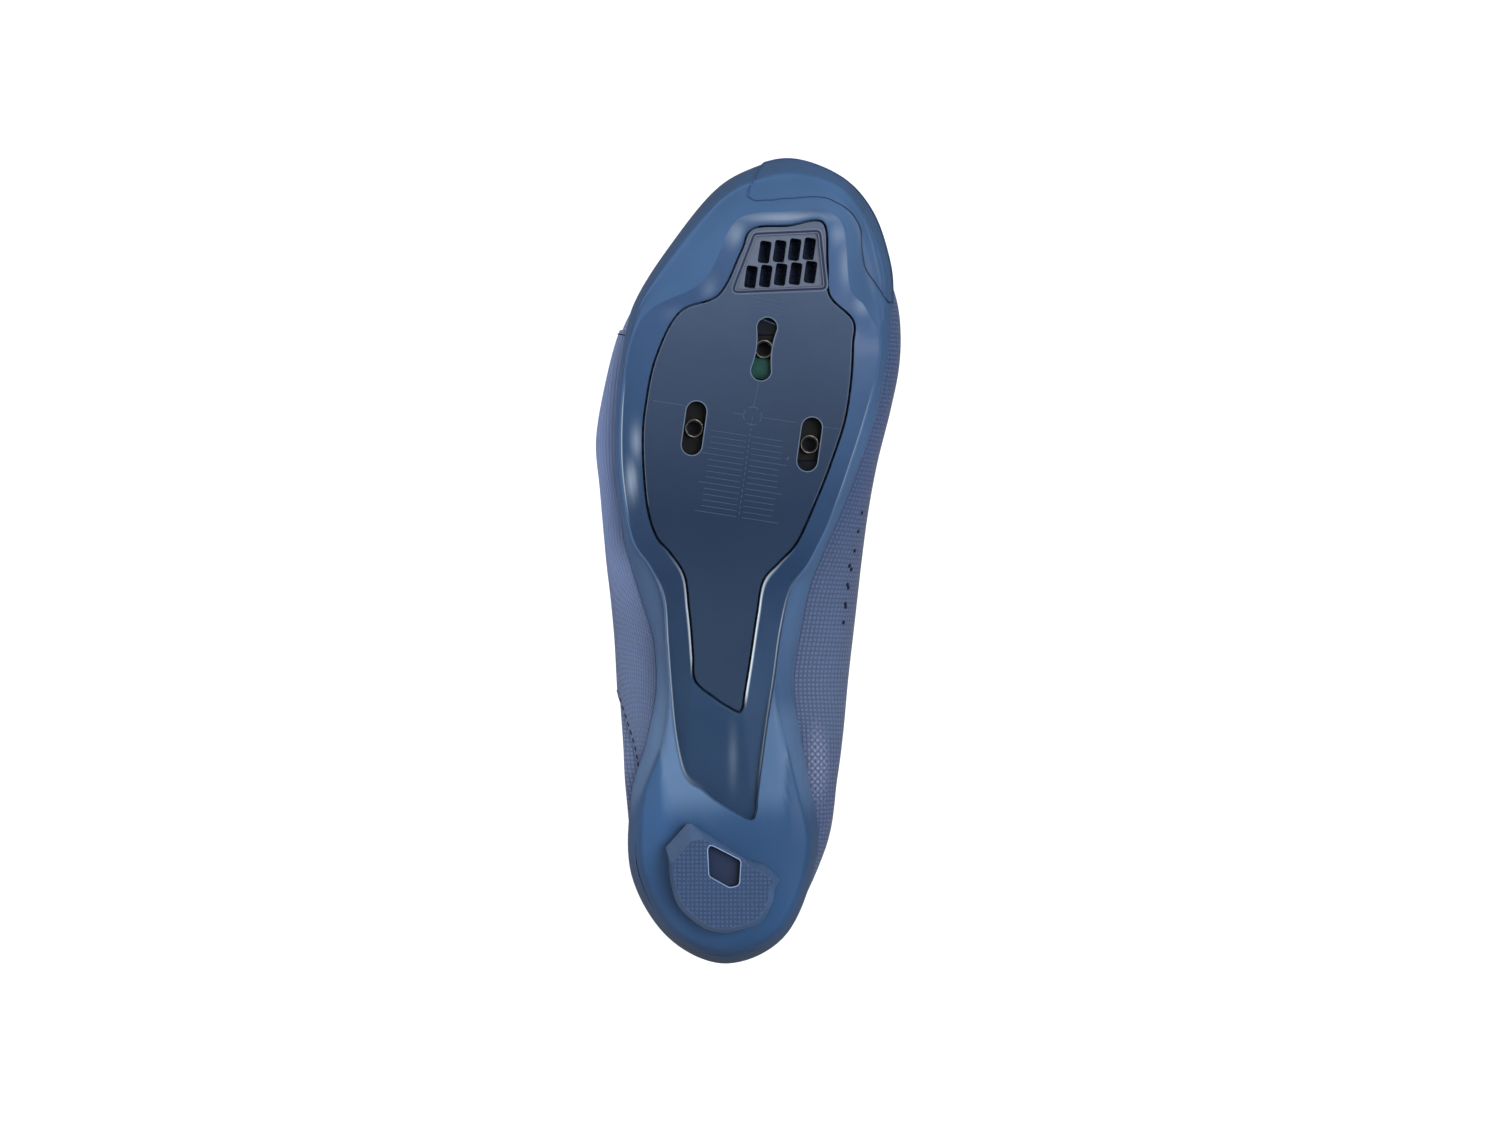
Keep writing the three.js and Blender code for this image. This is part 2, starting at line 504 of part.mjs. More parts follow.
const heelPad = lug(heelPadBase, heelPadFace, 0, heelLift - clearance)
  .subtract(prism(rhombusOutline, -spare, rhombusDepth));

const outsole = soleForm()
  .subtract(insideRim)
  .subtract(recess)
  .subtract(nutPocket)
  .subtract(ventHoles)
  .subtract(gripRoom);

// Insole: a flat sheet on the footbed, inside the upper
const insoleLine = spread(seatLine, -(clearance + upperWall + clearance));
const insole = lofted([
  lift(insoleLine, (p) => footbed(p[0]) + clearance),
  lift(insoleLine, (p) => footbed(p[0]) + clearance + insoleThickness),
]);

// The upper's skin at a section and a height share: below 0 it flares out over the rim,
// from 0 to 1 it rises over the shoulder to the section's top
function skinPoint(side, at, up) {
  const [seatX, seatY] = seatSpot(side, at);
  const [wideX, wideY] = spot(side, 'wide', at);
  const topAt = Math.min(at, lastRow - 1);
  const column = (pick, place) => between(upperRows.map(pick), place);
  const topX = column((row) => row.top[0], topAt) * length;
  const topY = column((row) => row.top[1], topAt) * ballWidth;
  const topZ = column((row) => row.top[2], topAt) * instepHeight;
  const outer = side === 'outer';
  const low = column((row) => (outer ? row.lowOuter : row.lowInner), at) * instepHeight;
  const full = column((row) => (outer ? row.fullOuter : row.fullInner), at);
  if (up < 0) {
    const u = 1 + up;
    const start = rimHeightAt(side, at) + 2 * clearance;
    const out = 0.4 * u + 0.6 * Math.sin(u * Math.PI / 2);
    const rise = (0.55 * u + 0.45 * (1 - Math.sqrt(Math.max(0, 1 - u * u)))) * (0.3 + 0.7 * u);
    return [seatX + (wideX - seatX) * out, seatY + (wideY - seatY) * out, start + (low - start) * rise];
  }
  const angle = up * Math.PI / 2;
  const across = Math.pow(Math.max(0, Math.cos(angle)), 2 / full);
  const rise = Math.pow(Math.sin(angle), 2 / full);
  return [topX + (wideX - topX) * across, topY + (wideY - topY) * across, low + (topZ - low) * rise];
}

const seatInner = spread(seatLine, -clearance);
function seatSpot(side, at, line = seatInner) {
  const n = line.length;
  const i = side === 'outer' ? at * stepsPerRow : (n - at * stepsPerRow) % n;
  const a = line[Math.floor(i) % n];
  const b = line[Math.ceil(i) % n];
  const u = i - Math.floor(i);
  return [a[0] + (b[0] - a[0]) * u, a[1] + (b[1] - a[1]) * u];
}

function rimHeightAt(side, at) {
  return tread(spot(side, 'rim', at)[0]) + share(side, 'rise', at) * rimHeight;
}

// Square to the skin and outwards
function skinNormal(side, at, up) {
  const step = 0.03;
  if (up > 1 - step) {
    const place = Math.min(at, lastRow - 1);
    return skinNormal('outer', place, 1 - 2 * step).add(skinNormal('inner', place, 1 - 2 * step)).normalize();
  }
  const reach = 0.1;
  const point = (a, u) => new THREE.Vector3(...skinPoint(side, a, u));
  const fore = point(Math.min(lastRow, at + reach), up);
  const aft = point(Math.max(0, at - reach), up);
  const climb = point(at, up + step).sub(point(at, Math.max(-1, up - step)));
  if (at < reach || at > lastRow - reach) {
    const other = side === 'outer' ? 'inner' : 'outer';
    const place = at < reach ? reach : lastRow - reach;
    (at < reach ? aft : fore).set(...skinPoint(other, place, up));
  }
  const normal = climb.cross(fore.sub(aft)).normalize();
  return side === 'outer' ? normal.negate() : normal;
}

// The skin moved square to itself, outwards where the amount is positive
function skin(side, at, up, amount) {
  const p = new THREE.Vector3(...skinPoint(side, at, up)).addScaledVector(skinNormal(side, at, up), amount);
  return p.toArray();
}

// How far up the skin the collar and the throat leave the upper
function cutAt(side, at) {
  const cut = Math.min(1, between(upperRows.map((row) => row.cut), at));
  const full = between(upperRows.map((row) => (side === 'outer' ? row.fullOuter : row.fullInner)), at);
  return at >= throatRow ? 1 : (Math.asin(Math.pow(cut, full / 2)) * 2) / Math.PI;
}
const throatRow = upperRows.findIndex((row) => row.cut === 1);

// The upper: a wall around the foot, open below, at the collar and along the throat
const flareSteps = 2;
const wallSteps = 7;
function upperShell() {
  const seatDeep = spread(seatInner, -upperWall);
  const columns = [];
  const add = (side, at) => {
    const outerSkin = [[...seatSpot(side, at), footbed(seatSpot(side, at)[0]) + clearance]];
    const deep = seatSpot(side, at, seatDeep);
    const innerSkin = [[...deep, footbed(deep[0]) + clearance]];
    const top = cutAt(side, at);
    for (let k = 0; k <= flareSteps; k += 1) {
      const up = -1 + k / flareSteps;
      outerSkin.push(k ? skin(side, at, up, 0) : skinPoint(side, at, up));
      innerSkin.push(k ? skin(side, at, up, -upperWall) : [...deep, skinPoint(side, at, up)[2] + upperWall]);
    }
    for (let k = 1; k <= wallSteps; k += 1) {
      outerSkin.push(skin(side, at, (top * k) / wallSteps, 0));
      innerSkin.push(skin(side, at, (top * k) / wallSteps, -upperWall));
    }
    columns.push({ outerSkin, innerSkin, open: at < throatRow });
  };
  for (let i = 0; i <= stations; i += 1) add('outer', i / stepsPerRow);
  for (let i = stations - 1; i > 0; i -= 1) add('inner', i / stepsPerRow);
  const vertices = [];
  const faces = [];
  const quad = (a, b, c, d) => {
    const base = vertices.length;
    vertices.push(a, b, c, d);
    faces.push([base, base + 1, base + 2], [base, base + 2, base + 3]);
  };
  const levels = flareSteps + wallSteps + 1;
  columns.forEach((column, i) => {
    const next = columns[(i + 1) % columns.length];
    for (let k = 0; k < levels; k += 1) {
      quad(column.outerSkin[k], next.outerSkin[k], next.outerSkin[k + 1], column.outerSkin[k + 1]);
      quad(column.innerSkin[k + 1], next.innerSkin[k + 1], next.innerSkin[k], column.innerSkin[k]);
    }
    quad(column.innerSkin[0], next.innerSkin[0], next.outerSkin[0], column.outerSkin[0]);
    if (column.open || next.open) {
      quad(
        column.outerSkin[levels],
        next.outerSkin[levels],
        next.innerSkin[levels],
        column.innerSkin[levels],
      );
    }
  });
  return solidOf(meshOf(vertices, faces));
}

// A flap of even thickness on the skin. place gives side, section and height share at two
// shares, along and across the flap.
function flap(place, low, high, alongSteps, acrossSteps) {
  const vertices = [];
  const faces = [];
  const grid = (amount) => {
    const rows = [];
    for (let i = 0; i <= alongSteps; i += 1) {
      rows.push([]);
      for (let j = 0; j <= acrossSteps; j += 1) {
        const [side, at, up] = place(i / alongSteps, j / acrossSteps);
        rows[i].push(skin(side, at, up, amount));
      }
    }
    return rows;
  };
  const [inner, outer] = [grid(low), grid(high)];
  const quad = (a, b, c, d) => {
    const base = vertices.length;
    vertices.push(a, b, c, d);
    faces.push([base, base + 1, base + 2], [base, base + 2, base + 3]);
  };
  for (let i = 0; i < alongSteps; i += 1) {
    for (let j = 0; j < acrossSteps; j += 1) {
      quad(outer[i][j], outer[i + 1][j], outer[i + 1][j + 1], outer[i][j + 1]);
      quad(inner[i][j + 1], inner[i + 1][j + 1], inner[i + 1][j], inner[i][j]);
    }
  }
  for (let i = 0; i < alongSteps; i += 1) {
    quad(inner[i][0], inner[i + 1][0], outer[i + 1][0], outer[i][0]);
    quad(outer[i][acrossSteps], outer[i + 1][acrossSteps], inner[i + 1][acrossSteps], inner[i][acrossSteps]);
  }
  for (let j = 0; j < acrossSteps; j += 1) {
    quad(outer[0][j], outer[0][j + 1], inner[0][j + 1], inner[0][j]);
    quad(inner[alongSteps][j], inner[alongSteps][j + 1], outer[alongSteps][j + 1], outer[alongSteps][j]);
  }
  return solidOf(meshOf(vertices, faces));
}

// From one height share on the outer side over the top to one on the inner side
function over(at, outerUp, innerUp, v) {
  const reach = (1 - outerUp) + (1 - innerUp);
  const gone = v * reach;
  return gone <= 1 - outerUp
    ? ['outer', at, outerUp + gone]
    : ['inner', at, 1 - (gone - (1 - outerUp))];
}

// The stiff overlay at the outer quarter is a step in the upper's wall
const overlay = { front: 13.1, rear: 4.1, slant: 0.9, low: -0.45, high: 0.1 };
const overlayPlace = (u, v) => {
  const up = overlay.low + (overlay.high - overlay.low) * v;
  const rear = overlay.rear + overlay.slant * v;
  return ['outer', rear + (overlay.front - rear) * u, up];
};
const upper = upperShell().add(flap(overlayPlace, -upperWall / 2, overlayThickness, 18, 4));

// Tongue under the throat, standing above the collar
const tongueRows = { front: 12.4, rear: 2.6, outerUp: 0.66, innerUp: 0.66, taper: 0.12 };
const tonguePlace = (u, v) => {
  const at = tongueRows.front + (tongueRows.rear - tongueRows.front) * u;
  const narrow = tongueRows.taper * (1 - u);
  return over(at, tongueRows.outerUp + narrow, tongueRows.innerUp + narrow, v);
};
const tongueTop = -(upperWall + 3 * clearance);
const tongue = flap(tonguePlace, tongueTop - tongueThickness, tongueTop, 14, 9);

// Three straps over the throat, from the inner side to the outer side
const straps = [
  { name: 'strap_front', at: 10.75, outerUp: 0.42, innerUp: 0.5 },
  { name: 'strap_middle', at: 8.55, outerUp: 0.42, innerUp: 0.5 },
  { name: 'strap_instep', at: 6.05, outerUp: 0.40, innerUp: 0.5 },
];
const strapSolid = ({ at, outerUp, innerUp }) => {
  const spacing = (spot('outer', 'wide', at + 0.5)[0] - spot('outer', 'wide', at - 0.5)[0]
    + spot('inner', 'wide', at + 0.5)[0] - spot('inner', 'wide', at - 0.5)[0]) / 2;
  const half = strapWidth / 2 / spacing;
  const place = (u, v) => over(at - half + 2 * half * u, outerUp, innerUp, v);
  return flap(place, clearance, clearance + strapThickness, 3, 14);
};

const finish = (hex, roughness, metalness = 0) => new THREE.MeshStandardMaterial({
  color: new THREE.Color(hex),
  roughness,
  metalness,
});
const shell = finish('#4b6a92', 0.3);
const soft = finish('#4a6486', 0.75);
const cloth = finish('#5c6b8d', 0.8);
const pieces = [
  ['outsole', outsole, shell],
  ['sole_plate', solePlate, finish('#3f4d66', 0.4)],
  ['toe_grip', toeGrip, soft],
  ['heel_pad', heelPad, finish('#3f5272', 0.7)],
  ['cleat_nut_plate', nutPlate, finish('#2b3038', 0.35, 1)],
  ['upper', upper, cloth],
  ['insole', insole, finish('#30405c', 0.9)],
  ['tongue', tongue, cloth],
  ...straps.map((strap) => [strap.name, strapSolid(strap), finish('#46577a', 0.8)]),
];
const shoe = new THREE.Group();
for (const [name, solid, material] of pieces) {
  const mesh = new THREE.Mesh(geometryOf(solid), material);
  mesh.name = name;
  shoe.add(mesh);
}

// The shoe lies on the face of its hull that carries its middle, with its outer side down
const corners = [];
const middle = new THREE.Vector3();
let bulk = 0;
for (const mesh of shoe.children) {
  const position = mesh.geometry.attributes.position;
  const index = mesh.geometry.index.array;
  const point = (i) => new THREE.Vector3().fromBufferAttribute(position, i);
  for (let i = 0; i < position.count; i += 1) corners.push(point(i));
  for (let i = 0; i < index.length; i += 3) {
    const [a, b, c] = [point(index[i]), point(index[i + 1]), point(index[i + 2])];
    const part = a.dot(b.clone().cross(c)) / 6;
    middle.addScaledVector(a.add(b).add(c), part / 4);
    bulk += part;
  }
}
middle.divideScalar(bulk);
const hull = new ConvexHull().setFromPoints(corners);
const outerSide = new THREE.Vector3(0, -1, 0);
const faceList = [];
for (const face of hull.faces) {
  const normal = face.normal.clone();
  if (normal.dot(outerSide) < 0.5) continue;
  const ring = [];
  let edge = face.edge;
  do {
    ring.push(edge.head().point);
    edge = edge.next;
  } while (edge !== face.edge);
  const foot = middle.clone().addScaledVector(normal, face.constant - normal.dot(middle));
  const inside = ring.every((p, i) => {
    const next = ring[(i + 1) % ring.length];
    return next.clone().sub(p).cross(foot.clone().sub(p)).dot(normal) >= 0;
  });
  const reach = Math.min(...ring.map((p, i) => {
    const side = ring[(i + 1) % ring.length].clone().sub(p).normalize();
    return side.cross(foot.clone().sub(p)).dot(normal);
  }));
  if (inside) {
    faceList.push({ normal, ring, reach });
  }
}
faceList.sort((a, b) => b.reach - a.reach);
const restOn = faceList[0].normal;
const upWorld = restOn.clone().negate();
const toe = new THREE.Vector3(-1, 0, 0);
const aft = toe.addScaledVector(upWorld, -toe.dot(upWorld)).normalize();
const crown = upWorld.clone().cross(aft);
const turn = new THREE.Matrix4().makeBasis(aft, crown, upWorld).transpose();
shoe.quaternion.setFromRotationMatrix(turn);
const box = new THREE.Box3().setFromPoints(corners.map((p) => p.clone().applyMatrix4(turn)));
shoe.position.set(-(box.min.x + box.max.x) / 2, -(box.min.y + box.max.y) / 2, -box.min.z);

const part = new THREE.Group();
part.add(shoe);

export default part;
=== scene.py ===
# A right cycling shoe that lies on its outer side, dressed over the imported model.
# Lengths are millimetres in the shoe's own axes: X from heel to toe, Y to the inner side and
# Z up from the ground it would stand on. A finished mesh is turned into the frame, in metres.
import json
import math

import bmesh
import bpy
import numpy as np
from mathutils import Matrix, Vector

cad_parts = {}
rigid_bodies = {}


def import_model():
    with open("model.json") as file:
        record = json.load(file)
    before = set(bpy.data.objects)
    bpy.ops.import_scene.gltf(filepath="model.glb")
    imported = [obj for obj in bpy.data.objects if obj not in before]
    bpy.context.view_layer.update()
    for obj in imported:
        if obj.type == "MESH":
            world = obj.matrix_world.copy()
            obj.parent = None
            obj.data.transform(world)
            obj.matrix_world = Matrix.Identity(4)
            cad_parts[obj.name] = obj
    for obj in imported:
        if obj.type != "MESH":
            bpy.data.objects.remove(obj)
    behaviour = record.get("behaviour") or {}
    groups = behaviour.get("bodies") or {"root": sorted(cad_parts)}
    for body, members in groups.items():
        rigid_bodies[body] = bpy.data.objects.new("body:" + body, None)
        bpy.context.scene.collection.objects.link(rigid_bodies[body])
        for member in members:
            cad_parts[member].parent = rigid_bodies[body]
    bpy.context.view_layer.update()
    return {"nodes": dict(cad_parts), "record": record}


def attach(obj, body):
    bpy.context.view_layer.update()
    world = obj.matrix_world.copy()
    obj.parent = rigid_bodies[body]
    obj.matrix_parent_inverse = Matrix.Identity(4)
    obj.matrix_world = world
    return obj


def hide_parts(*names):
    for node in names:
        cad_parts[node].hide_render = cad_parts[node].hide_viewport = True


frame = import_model()

# Driving sizes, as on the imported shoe
LENGTH = 255.4
BALL_WIDTH = 96.4
INSTEP_HEIGHT = 98
ARCH_RISE = 6.5
TOE_SPRING = 18
HEEL_LIFT = 6.3
SOLE_THICKNESS = 6.5
RIM_HEIGHT = 10
RIM_THICKNESS = 2.4
UPPER_WALL = 1.8
CLEARANCE = 0.3
PLATE_THICKNESS = 2
GROOVE = 0.72
BAND_DROP = 1.4
CHANNEL_DEPTH = 2.2
CHANNEL_STEP = 0.7
PAD_PROUD = 0.4
INSOLE_THICKNESS = 3
TONGUE_THICKNESS = 3
OVERLAY_THICKNESS = 0.75
STRAP_THICKNESS = 1.8
STRAP_WIDTH = 20
VENT_DEPTH = 0.6
VENT_SLOT = (3.5, 7.0)
SLOT_WIDTH = 6.3
SLOT_LENGTH = 17
SLOT_TILT = math.radians(8)
BOLT_BORE = 4.2
BOSS_DIAMETER = 5.6
BOLT_PITCH = 36.4
BOLT_REAR = 0.65466 * LENGTH
BOLT_FRONT = BOLT_REAR + 27.5
BOLT_MIDDLE = 0.006 * BALL_WIDTH

# Plan rows from the heel end along the outer side to the toe end, in shares of length and
# ball width: plate x y, band x y, edge x y, rim x y, wide x y, sunk, rise
OUTER_ROWS = [
    (0.314, -0.039, 0.183, -0.003, 0.018, -0.075, 0.000, -0.075, 0.007, -0.075, 1, 2),
    (0.321, -0.075, 0.202, -0.098, 0.043, -0.243, 0.032, -0.269, 0.038, -0.259, 1, 2.15),
    (0.330, -0.111, 0.218, -0.154, 0.116, -0.351, 0.111, -0.391, 0.113, -0.372, 1, 2.3),
    (0.352, -0.179, 0.235, -0.210, 0.209, -0.351, 0.209, -0.390, 0.209, -0.408, 1, 1.55),
    (0.384, -0.187, 0.282, -0.241, 0.275, -0.292, 0.278, -0.338, 0.275, -0.418, 1, 0.75),
    (0.415, -0.193, 0.341, -0.257, 0.341, -0.267, 0.341, -0.307, 0.341, -0.430, 0.7, 0.75),
    (0.444, -0.201, 0.403, -0.269, 0.403, -0.279, 0.403, -0.316, 0.403, -0.439, 0.4, 0.75),
    (0.483, -0.215, 0.456, -0.280, 0.456, -0.290, 0.456, -0.357, 0.456, -0.452, 0.2, 0.8),
    (0.511, -0.262, 0.493, -0.321, 0.494, -0.334, 0.494, -0.387, 0.494, -0.464, 0, 0.85),
    (0.532, -0.308, 0.528, -0.380, 0.529, -0.392, 0.530, -0.413, 0.530, -0.473, 0, 0.9),
    (0.572, -0.338, 0.591, -0.411, 0.591, -0.423, 0.591, -0.441, 0.591, -0.487, 0, 0.9),
    (0.644, -0.351, 0.650, -0.420, 0.650, -0.431, 0.650, -0.444, 0.650, -0.499, 0, 0.9),
    (0.694, -0.341, 0.718, -0.410, 0.718, -0.421, 0.718, -0.434, 0.718, -0.470, 0, 0.9),
    (0.752, -0.308, 0.778, -0.380, 0.780, -0.393, 0.782, -0.408, 0.782, -0.425, 0, 0.9),
    (0.808, -0.231, 0.814, -0.316, 0.825, -0.351, 0.825, -0.374, 0.824, -0.368, 0, 0.95),
    (0.830, -0.102, 0.847, -0.151, 0.881, -0.252, 0.883, -0.280, 0.878, -0.262, 0, 1),
    (0.883, -0.030, 0.913, -0.062, 0.946, -0.108, 0.957, -0.128, 0.950, -0.111, 0, 1.1),
    (0.912, 0.008, 0.930, 0.007, 0.972, 0.003, 0.988, -0.003, 0.978, 0.007, 0, 1.1),
    (0.916, 0.125, 0.933, 0.118, 0.983, 0.134, 1.000, 0.141, 0.990, 0.138, 0, 1.1),
]
# The same columns back along the inner side, from the heel end to the toe end
INNER_ROWS = [
    (0.317, -0.028, 0.191, 0.016, 0.050, 0.102, 0.038, 0.123, 0.043, 0.116, 1, 1.95),
    (0.322, -0.023, 0.205, 0.020, 0.143, 0.190, 0.143, 0.223, 0.143, 0.251, 1, 1.8),
    (0.331, -0.020, 0.230, 0.028, 0.230, 0.154, 0.230, 0.193, 0.230, 0.289, 1, 1.4),
    (0.378, 0.000, 0.298, 0.052, 0.282, 0.118, 0.291, 0.161, 0.285, 0.308, 0.9, 1.1),
    (0.436, 0.023, 0.353, 0.075, 0.353, 0.084, 0.353, 0.139, 0.353, 0.325, 0.6, 1),
    (0.476, 0.043, 0.415, 0.098, 0.415, 0.107, 0.415, 0.164, 0.415, 0.344, 0.35, 1),
    (0.499, 0.095, 0.467, 0.131, 0.465, 0.141, 0.465, 0.192, 0.465, 0.359, 0.15, 1),
    (0.525, 0.156, 0.502, 0.193, 0.499, 0.203, 0.502, 0.230, 0.502, 0.370, 0, 1),
    (0.581, 0.223, 0.561, 0.269, 0.560, 0.279, 0.561, 0.300, 0.560, 0.390, 0, 1),
    (0.626, 0.269, 0.623, 0.328, 0.622, 0.338, 0.622, 0.361, 0.622, 0.420, 0, 0.95),
    (0.675, 0.311, 0.685, 0.380, 0.684, 0.390, 0.684, 0.415, 0.684, 0.461, 0, 0.9),
    (0.725, 0.331, 0.737, 0.415, 0.737, 0.425, 0.737, 0.444, 0.737, 0.490, 0, 0.9),
    (0.768, 0.337, 0.780, 0.420, 0.780, 0.433, 0.782, 0.459, 0.782, 0.497, 0, 0.9),
    (0.798, 0.337, 0.815, 0.374, 0.824, 0.443, 0.824, 0.466, 0.824, 0.485, 0, 0.95),
    (0.829, 0.261, 0.841, 0.325, 0.869, 0.436, 0.871, 0.457, 0.868, 0.446, 0, 1),
    (0.871, 0.254, 0.915, 0.305, 0.925, 0.384, 0.933, 0.403, 0.925, 0.387, 0, 1.1),
    (0.920, 0.239, 0.936, 0.233, 0.967, 0.289, 0.977, 0.302, 0.970, 0.289, 0, 1.1),
]
# Underside heights: share of length, then parts of heel lift, arch rise and toe spring
TREAD_ROWS = [
    (0.00, 1.25, 0, 0),
    (0.04, 1.08, 0, 0),
    (0.08, 1.00, 0, 0),
    (0.24, 1.00, 0, 0),
    (0.30, 0.55, 0.50, 0),
    (0.36, 0.20, 0.85, 0),
    (0.42, 0, 1.00, 0),
    (0.48, 0, 0.82, 0),
    (0.54, 0, 0.45, 0),
    (0.60, 0, 0.12, 0),
    (0.63, 0, 0, 0),
    (0.72, 0, 0, 0),
    (0.78, 0, 0, 0.05),
    (0.83, 0, 0, 0.20),
    (0.88, 0, 0, 0.42),
    (0.94, 0, 0, 0.70),
    (1.00, 0, 0, 1.00),
]
# Upper rows from heel end to toe end: top x, y, z, widest height outer, inner, fullness
# outer, inner, and the part of the height that collar or throat leaves
UPPER_ROWS = [
    (0.235, -0.068, 1.00, 0.4, 0.40, 2.9, 2.9, 0.50),
    (0.235, -0.068, 1.00, 0.38, 0.38, 2, 2.5, 0.48),
    (0.240, -0.068, 1.00, 0.325, 0.34, 1.38, 2.0, 0.50),
    (0.260, -0.068, 1.00, 0.243, 0.32, 1.35, 1.8, 0.52),
    (0.300, -0.062, 0.98, 0.2, 0.32, 1.5, 1.8, 0.58),
    (0.355, -0.055, 0.93, 0.185, 0.34, 1.7, 1.85, 0.74),
    (0.410, -0.045, 0.875, 0.18, 0.36, 1.75, 1.9, 0.85),
    (0.465, -0.035, 0.82, 0.175, 0.36, 1.8, 2.0, 0.88),
    (0.505, -0.025, 0.775, 0.17, 0.34, 1.8, 2.0, 0.90),
    (0.550, -0.010, 0.73, 0.16, 0.30, 1.8, 2.05, 0.92),
    (0.610, 0.005, 0.675, 0.15, 0.27, 1.85, 2.1, 0.945),
    (0.665, 0.020, 0.62, 0.14, 0.25, 1.95, 2.15, 0.975),
    (0.725, 0.035, 0.575, 0.14, 0.245, 2, 2.2, 1),
    (0.780, 0.050, 0.54, 0.155, 0.245, 2.2, 2.2, 1),
    (0.825, 0.070, 0.52, 0.2, 0.265, 2.2, 2.2, 1),
    (0.868, 0.090, 0.505, 0.26, 0.295, 2.2, 2.2, 1),
    (0.905, 0.115, 0.485, 0.32, 0.335, 2.2, 2.2, 1),
    (0.930, 0.130, 0.465, 0.35, 0.355, 2.2, 2.2, 1),
    (0.930, 0.130, 0.465, 0.365, 0.365, 2.2, 2.2, 1),
]
TOE_GRIP_OUTLINE = [
    (0.994, 0.043), (0.972, 0.000), (0.955, -0.012), (0.946, 0.010), (0.949, 0.115), (0.952, 0.213),
    (0.950, 0.256), (0.940, 0.308), (0.930, 0.338), (0.912, 0.364), (0.882, 0.367), (0.862, 0.377),
    (0.820, 0.452), (0.805, 0.560), (1.080, 0.560), (1.080, 0.043),
]
VENT_OUTLINE = [(0.908, 0.010), (0.912, 0.235), (0.835, 0.256), (0.830, -0.069)]
VENT_SLOTS = [
    (0.883, 0.048), (0.884, 0.097), (0.886, 0.146), (0.887, 0.194),
    (0.852, 0.003), (0.853, 0.051), (0.855, 0.100), (0.856, 0.149), (0.858, 0.198),
]
TOE_ROW = len(UPPER_ROWS) - 1
RING_ROWS = 2 * TOE_ROW
THROAT_ROW = 12
RING = np.array(OUTER_ROWS + INNER_ROWS[::-1], float)
UPPER = np.array(UPPER_ROWS, float)
UPPER_RING = np.concatenate([UPPER[:, [3, 5]], UPPER[-2:0:-1, [4, 6]]])
COLUMNS = {"plate": 0, "band": 2, "edge": 4, "rim": 6, "wide": 8}
SUNK, RISE = 10, 11

# From the shoe's axes to the frame, by two points and a direction that the record states
mounts = {mount["name"]: mount for mount in frame["record"]["mounts"]}


# Smooth places and heights

def bend(a, b, c, d, part):
    """Smooth curve from b to c, led by the neighbours a and d."""
    return b + 0.5 * part * (c - a + part * (2 * a - 5 * b + 4 * c - d + part * (3 * (b - c) + d - a)))


def mix(first, second, part):
    return first + (second - first) * part


def unit(vectors):
    return vectors / np.maximum(np.linalg.norm(vectors, axis=-1, keepdims=True), 1e-9)


def through(rows, place):
    """Smooth curve through rows, at fractional row numbers."""
    start = np.floor(place).astype(int)
    part = place - start
    a, b, c, d = (rows(start + step) for step in (-1, 0, 1, 2))
    part = part.reshape(part.shape + (1,) * (b.ndim - part.ndim))
    return bend(a, b, c, d, part)


def ring_value(table, turn):
    return through(lambda i: table[i % len(table)], np.asarray(turn, float))


def row_value(table, at):
    return through(lambda i: table[np.clip(i, 0, len(table) - 1)], np.asarray(at, float))


def plan_point(name, turn):
    """Plan place of a named line at a turn round the shoe, counted in rows from the heel end."""
    column = COLUMNS[name]
    return ring_value(RING[:, column:column + 2], turn) * (LENGTH, BALL_WIDTH)


def outward(name, turn):
    """Unit direction in plan, square to a named line and away from the shoe."""
    step = 0.05
    along = unit(plan_point(name, turn + step) - plan_point(name, turn - step))
    return np.stack([along[..., 1], -along[..., 0]], -1)


def beside(name, turn, amount):
    """A named line moved outwards by an amount."""
    return plan_point(name, turn) + outward(name, turn) * amount


TREAD_X = np.arange(-30, LENGTH + 30, 1.0)
tread_table = np.array(TREAD_ROWS)
tread_steps = tread_table[:, 1:] @ (HEEL_LIFT, ARCH_RISE, TOE_SPRING)
tread_raw = np.interp(TREAD_X / LENGTH, tread_table[:, 0], tread_steps)
tread_kernel = np.hanning(23)
TREAD_Z = np.convolve(np.pad(tread_raw, 11, "edge"), tread_kernel / tread_kernel.sum(), "valid")


def tread(x):
    """Height of the underside, smoothed between its rows."""
    return np.interp(x, TREAD_X, TREAD_Z)


def ease(low, high, value):
    part = np.clip((value - low) / (high - low), 0, 1)
    return part * part * (3 - 2 * part)


def round_edge(near):
    """Height of a rounded edge, from 0 at its rim to 1."""
    return np.sqrt(np.clip(1 - (1 - np.clip(near, 0, 1)) ** 2, 0, 1))


def raised_to(plan, height):
    return np.concatenate([plan, np.asarray(height)[..., None]], -1)


def over_tread(plan, depth):
    return raised_to(plan, tread(plan[..., 0]) + depth)


def rim_top(turn):
    return tread(plan_point("rim", turn)[..., 0]) + ring_value(RING[:, RISE], turn) * RIM_HEIGHT


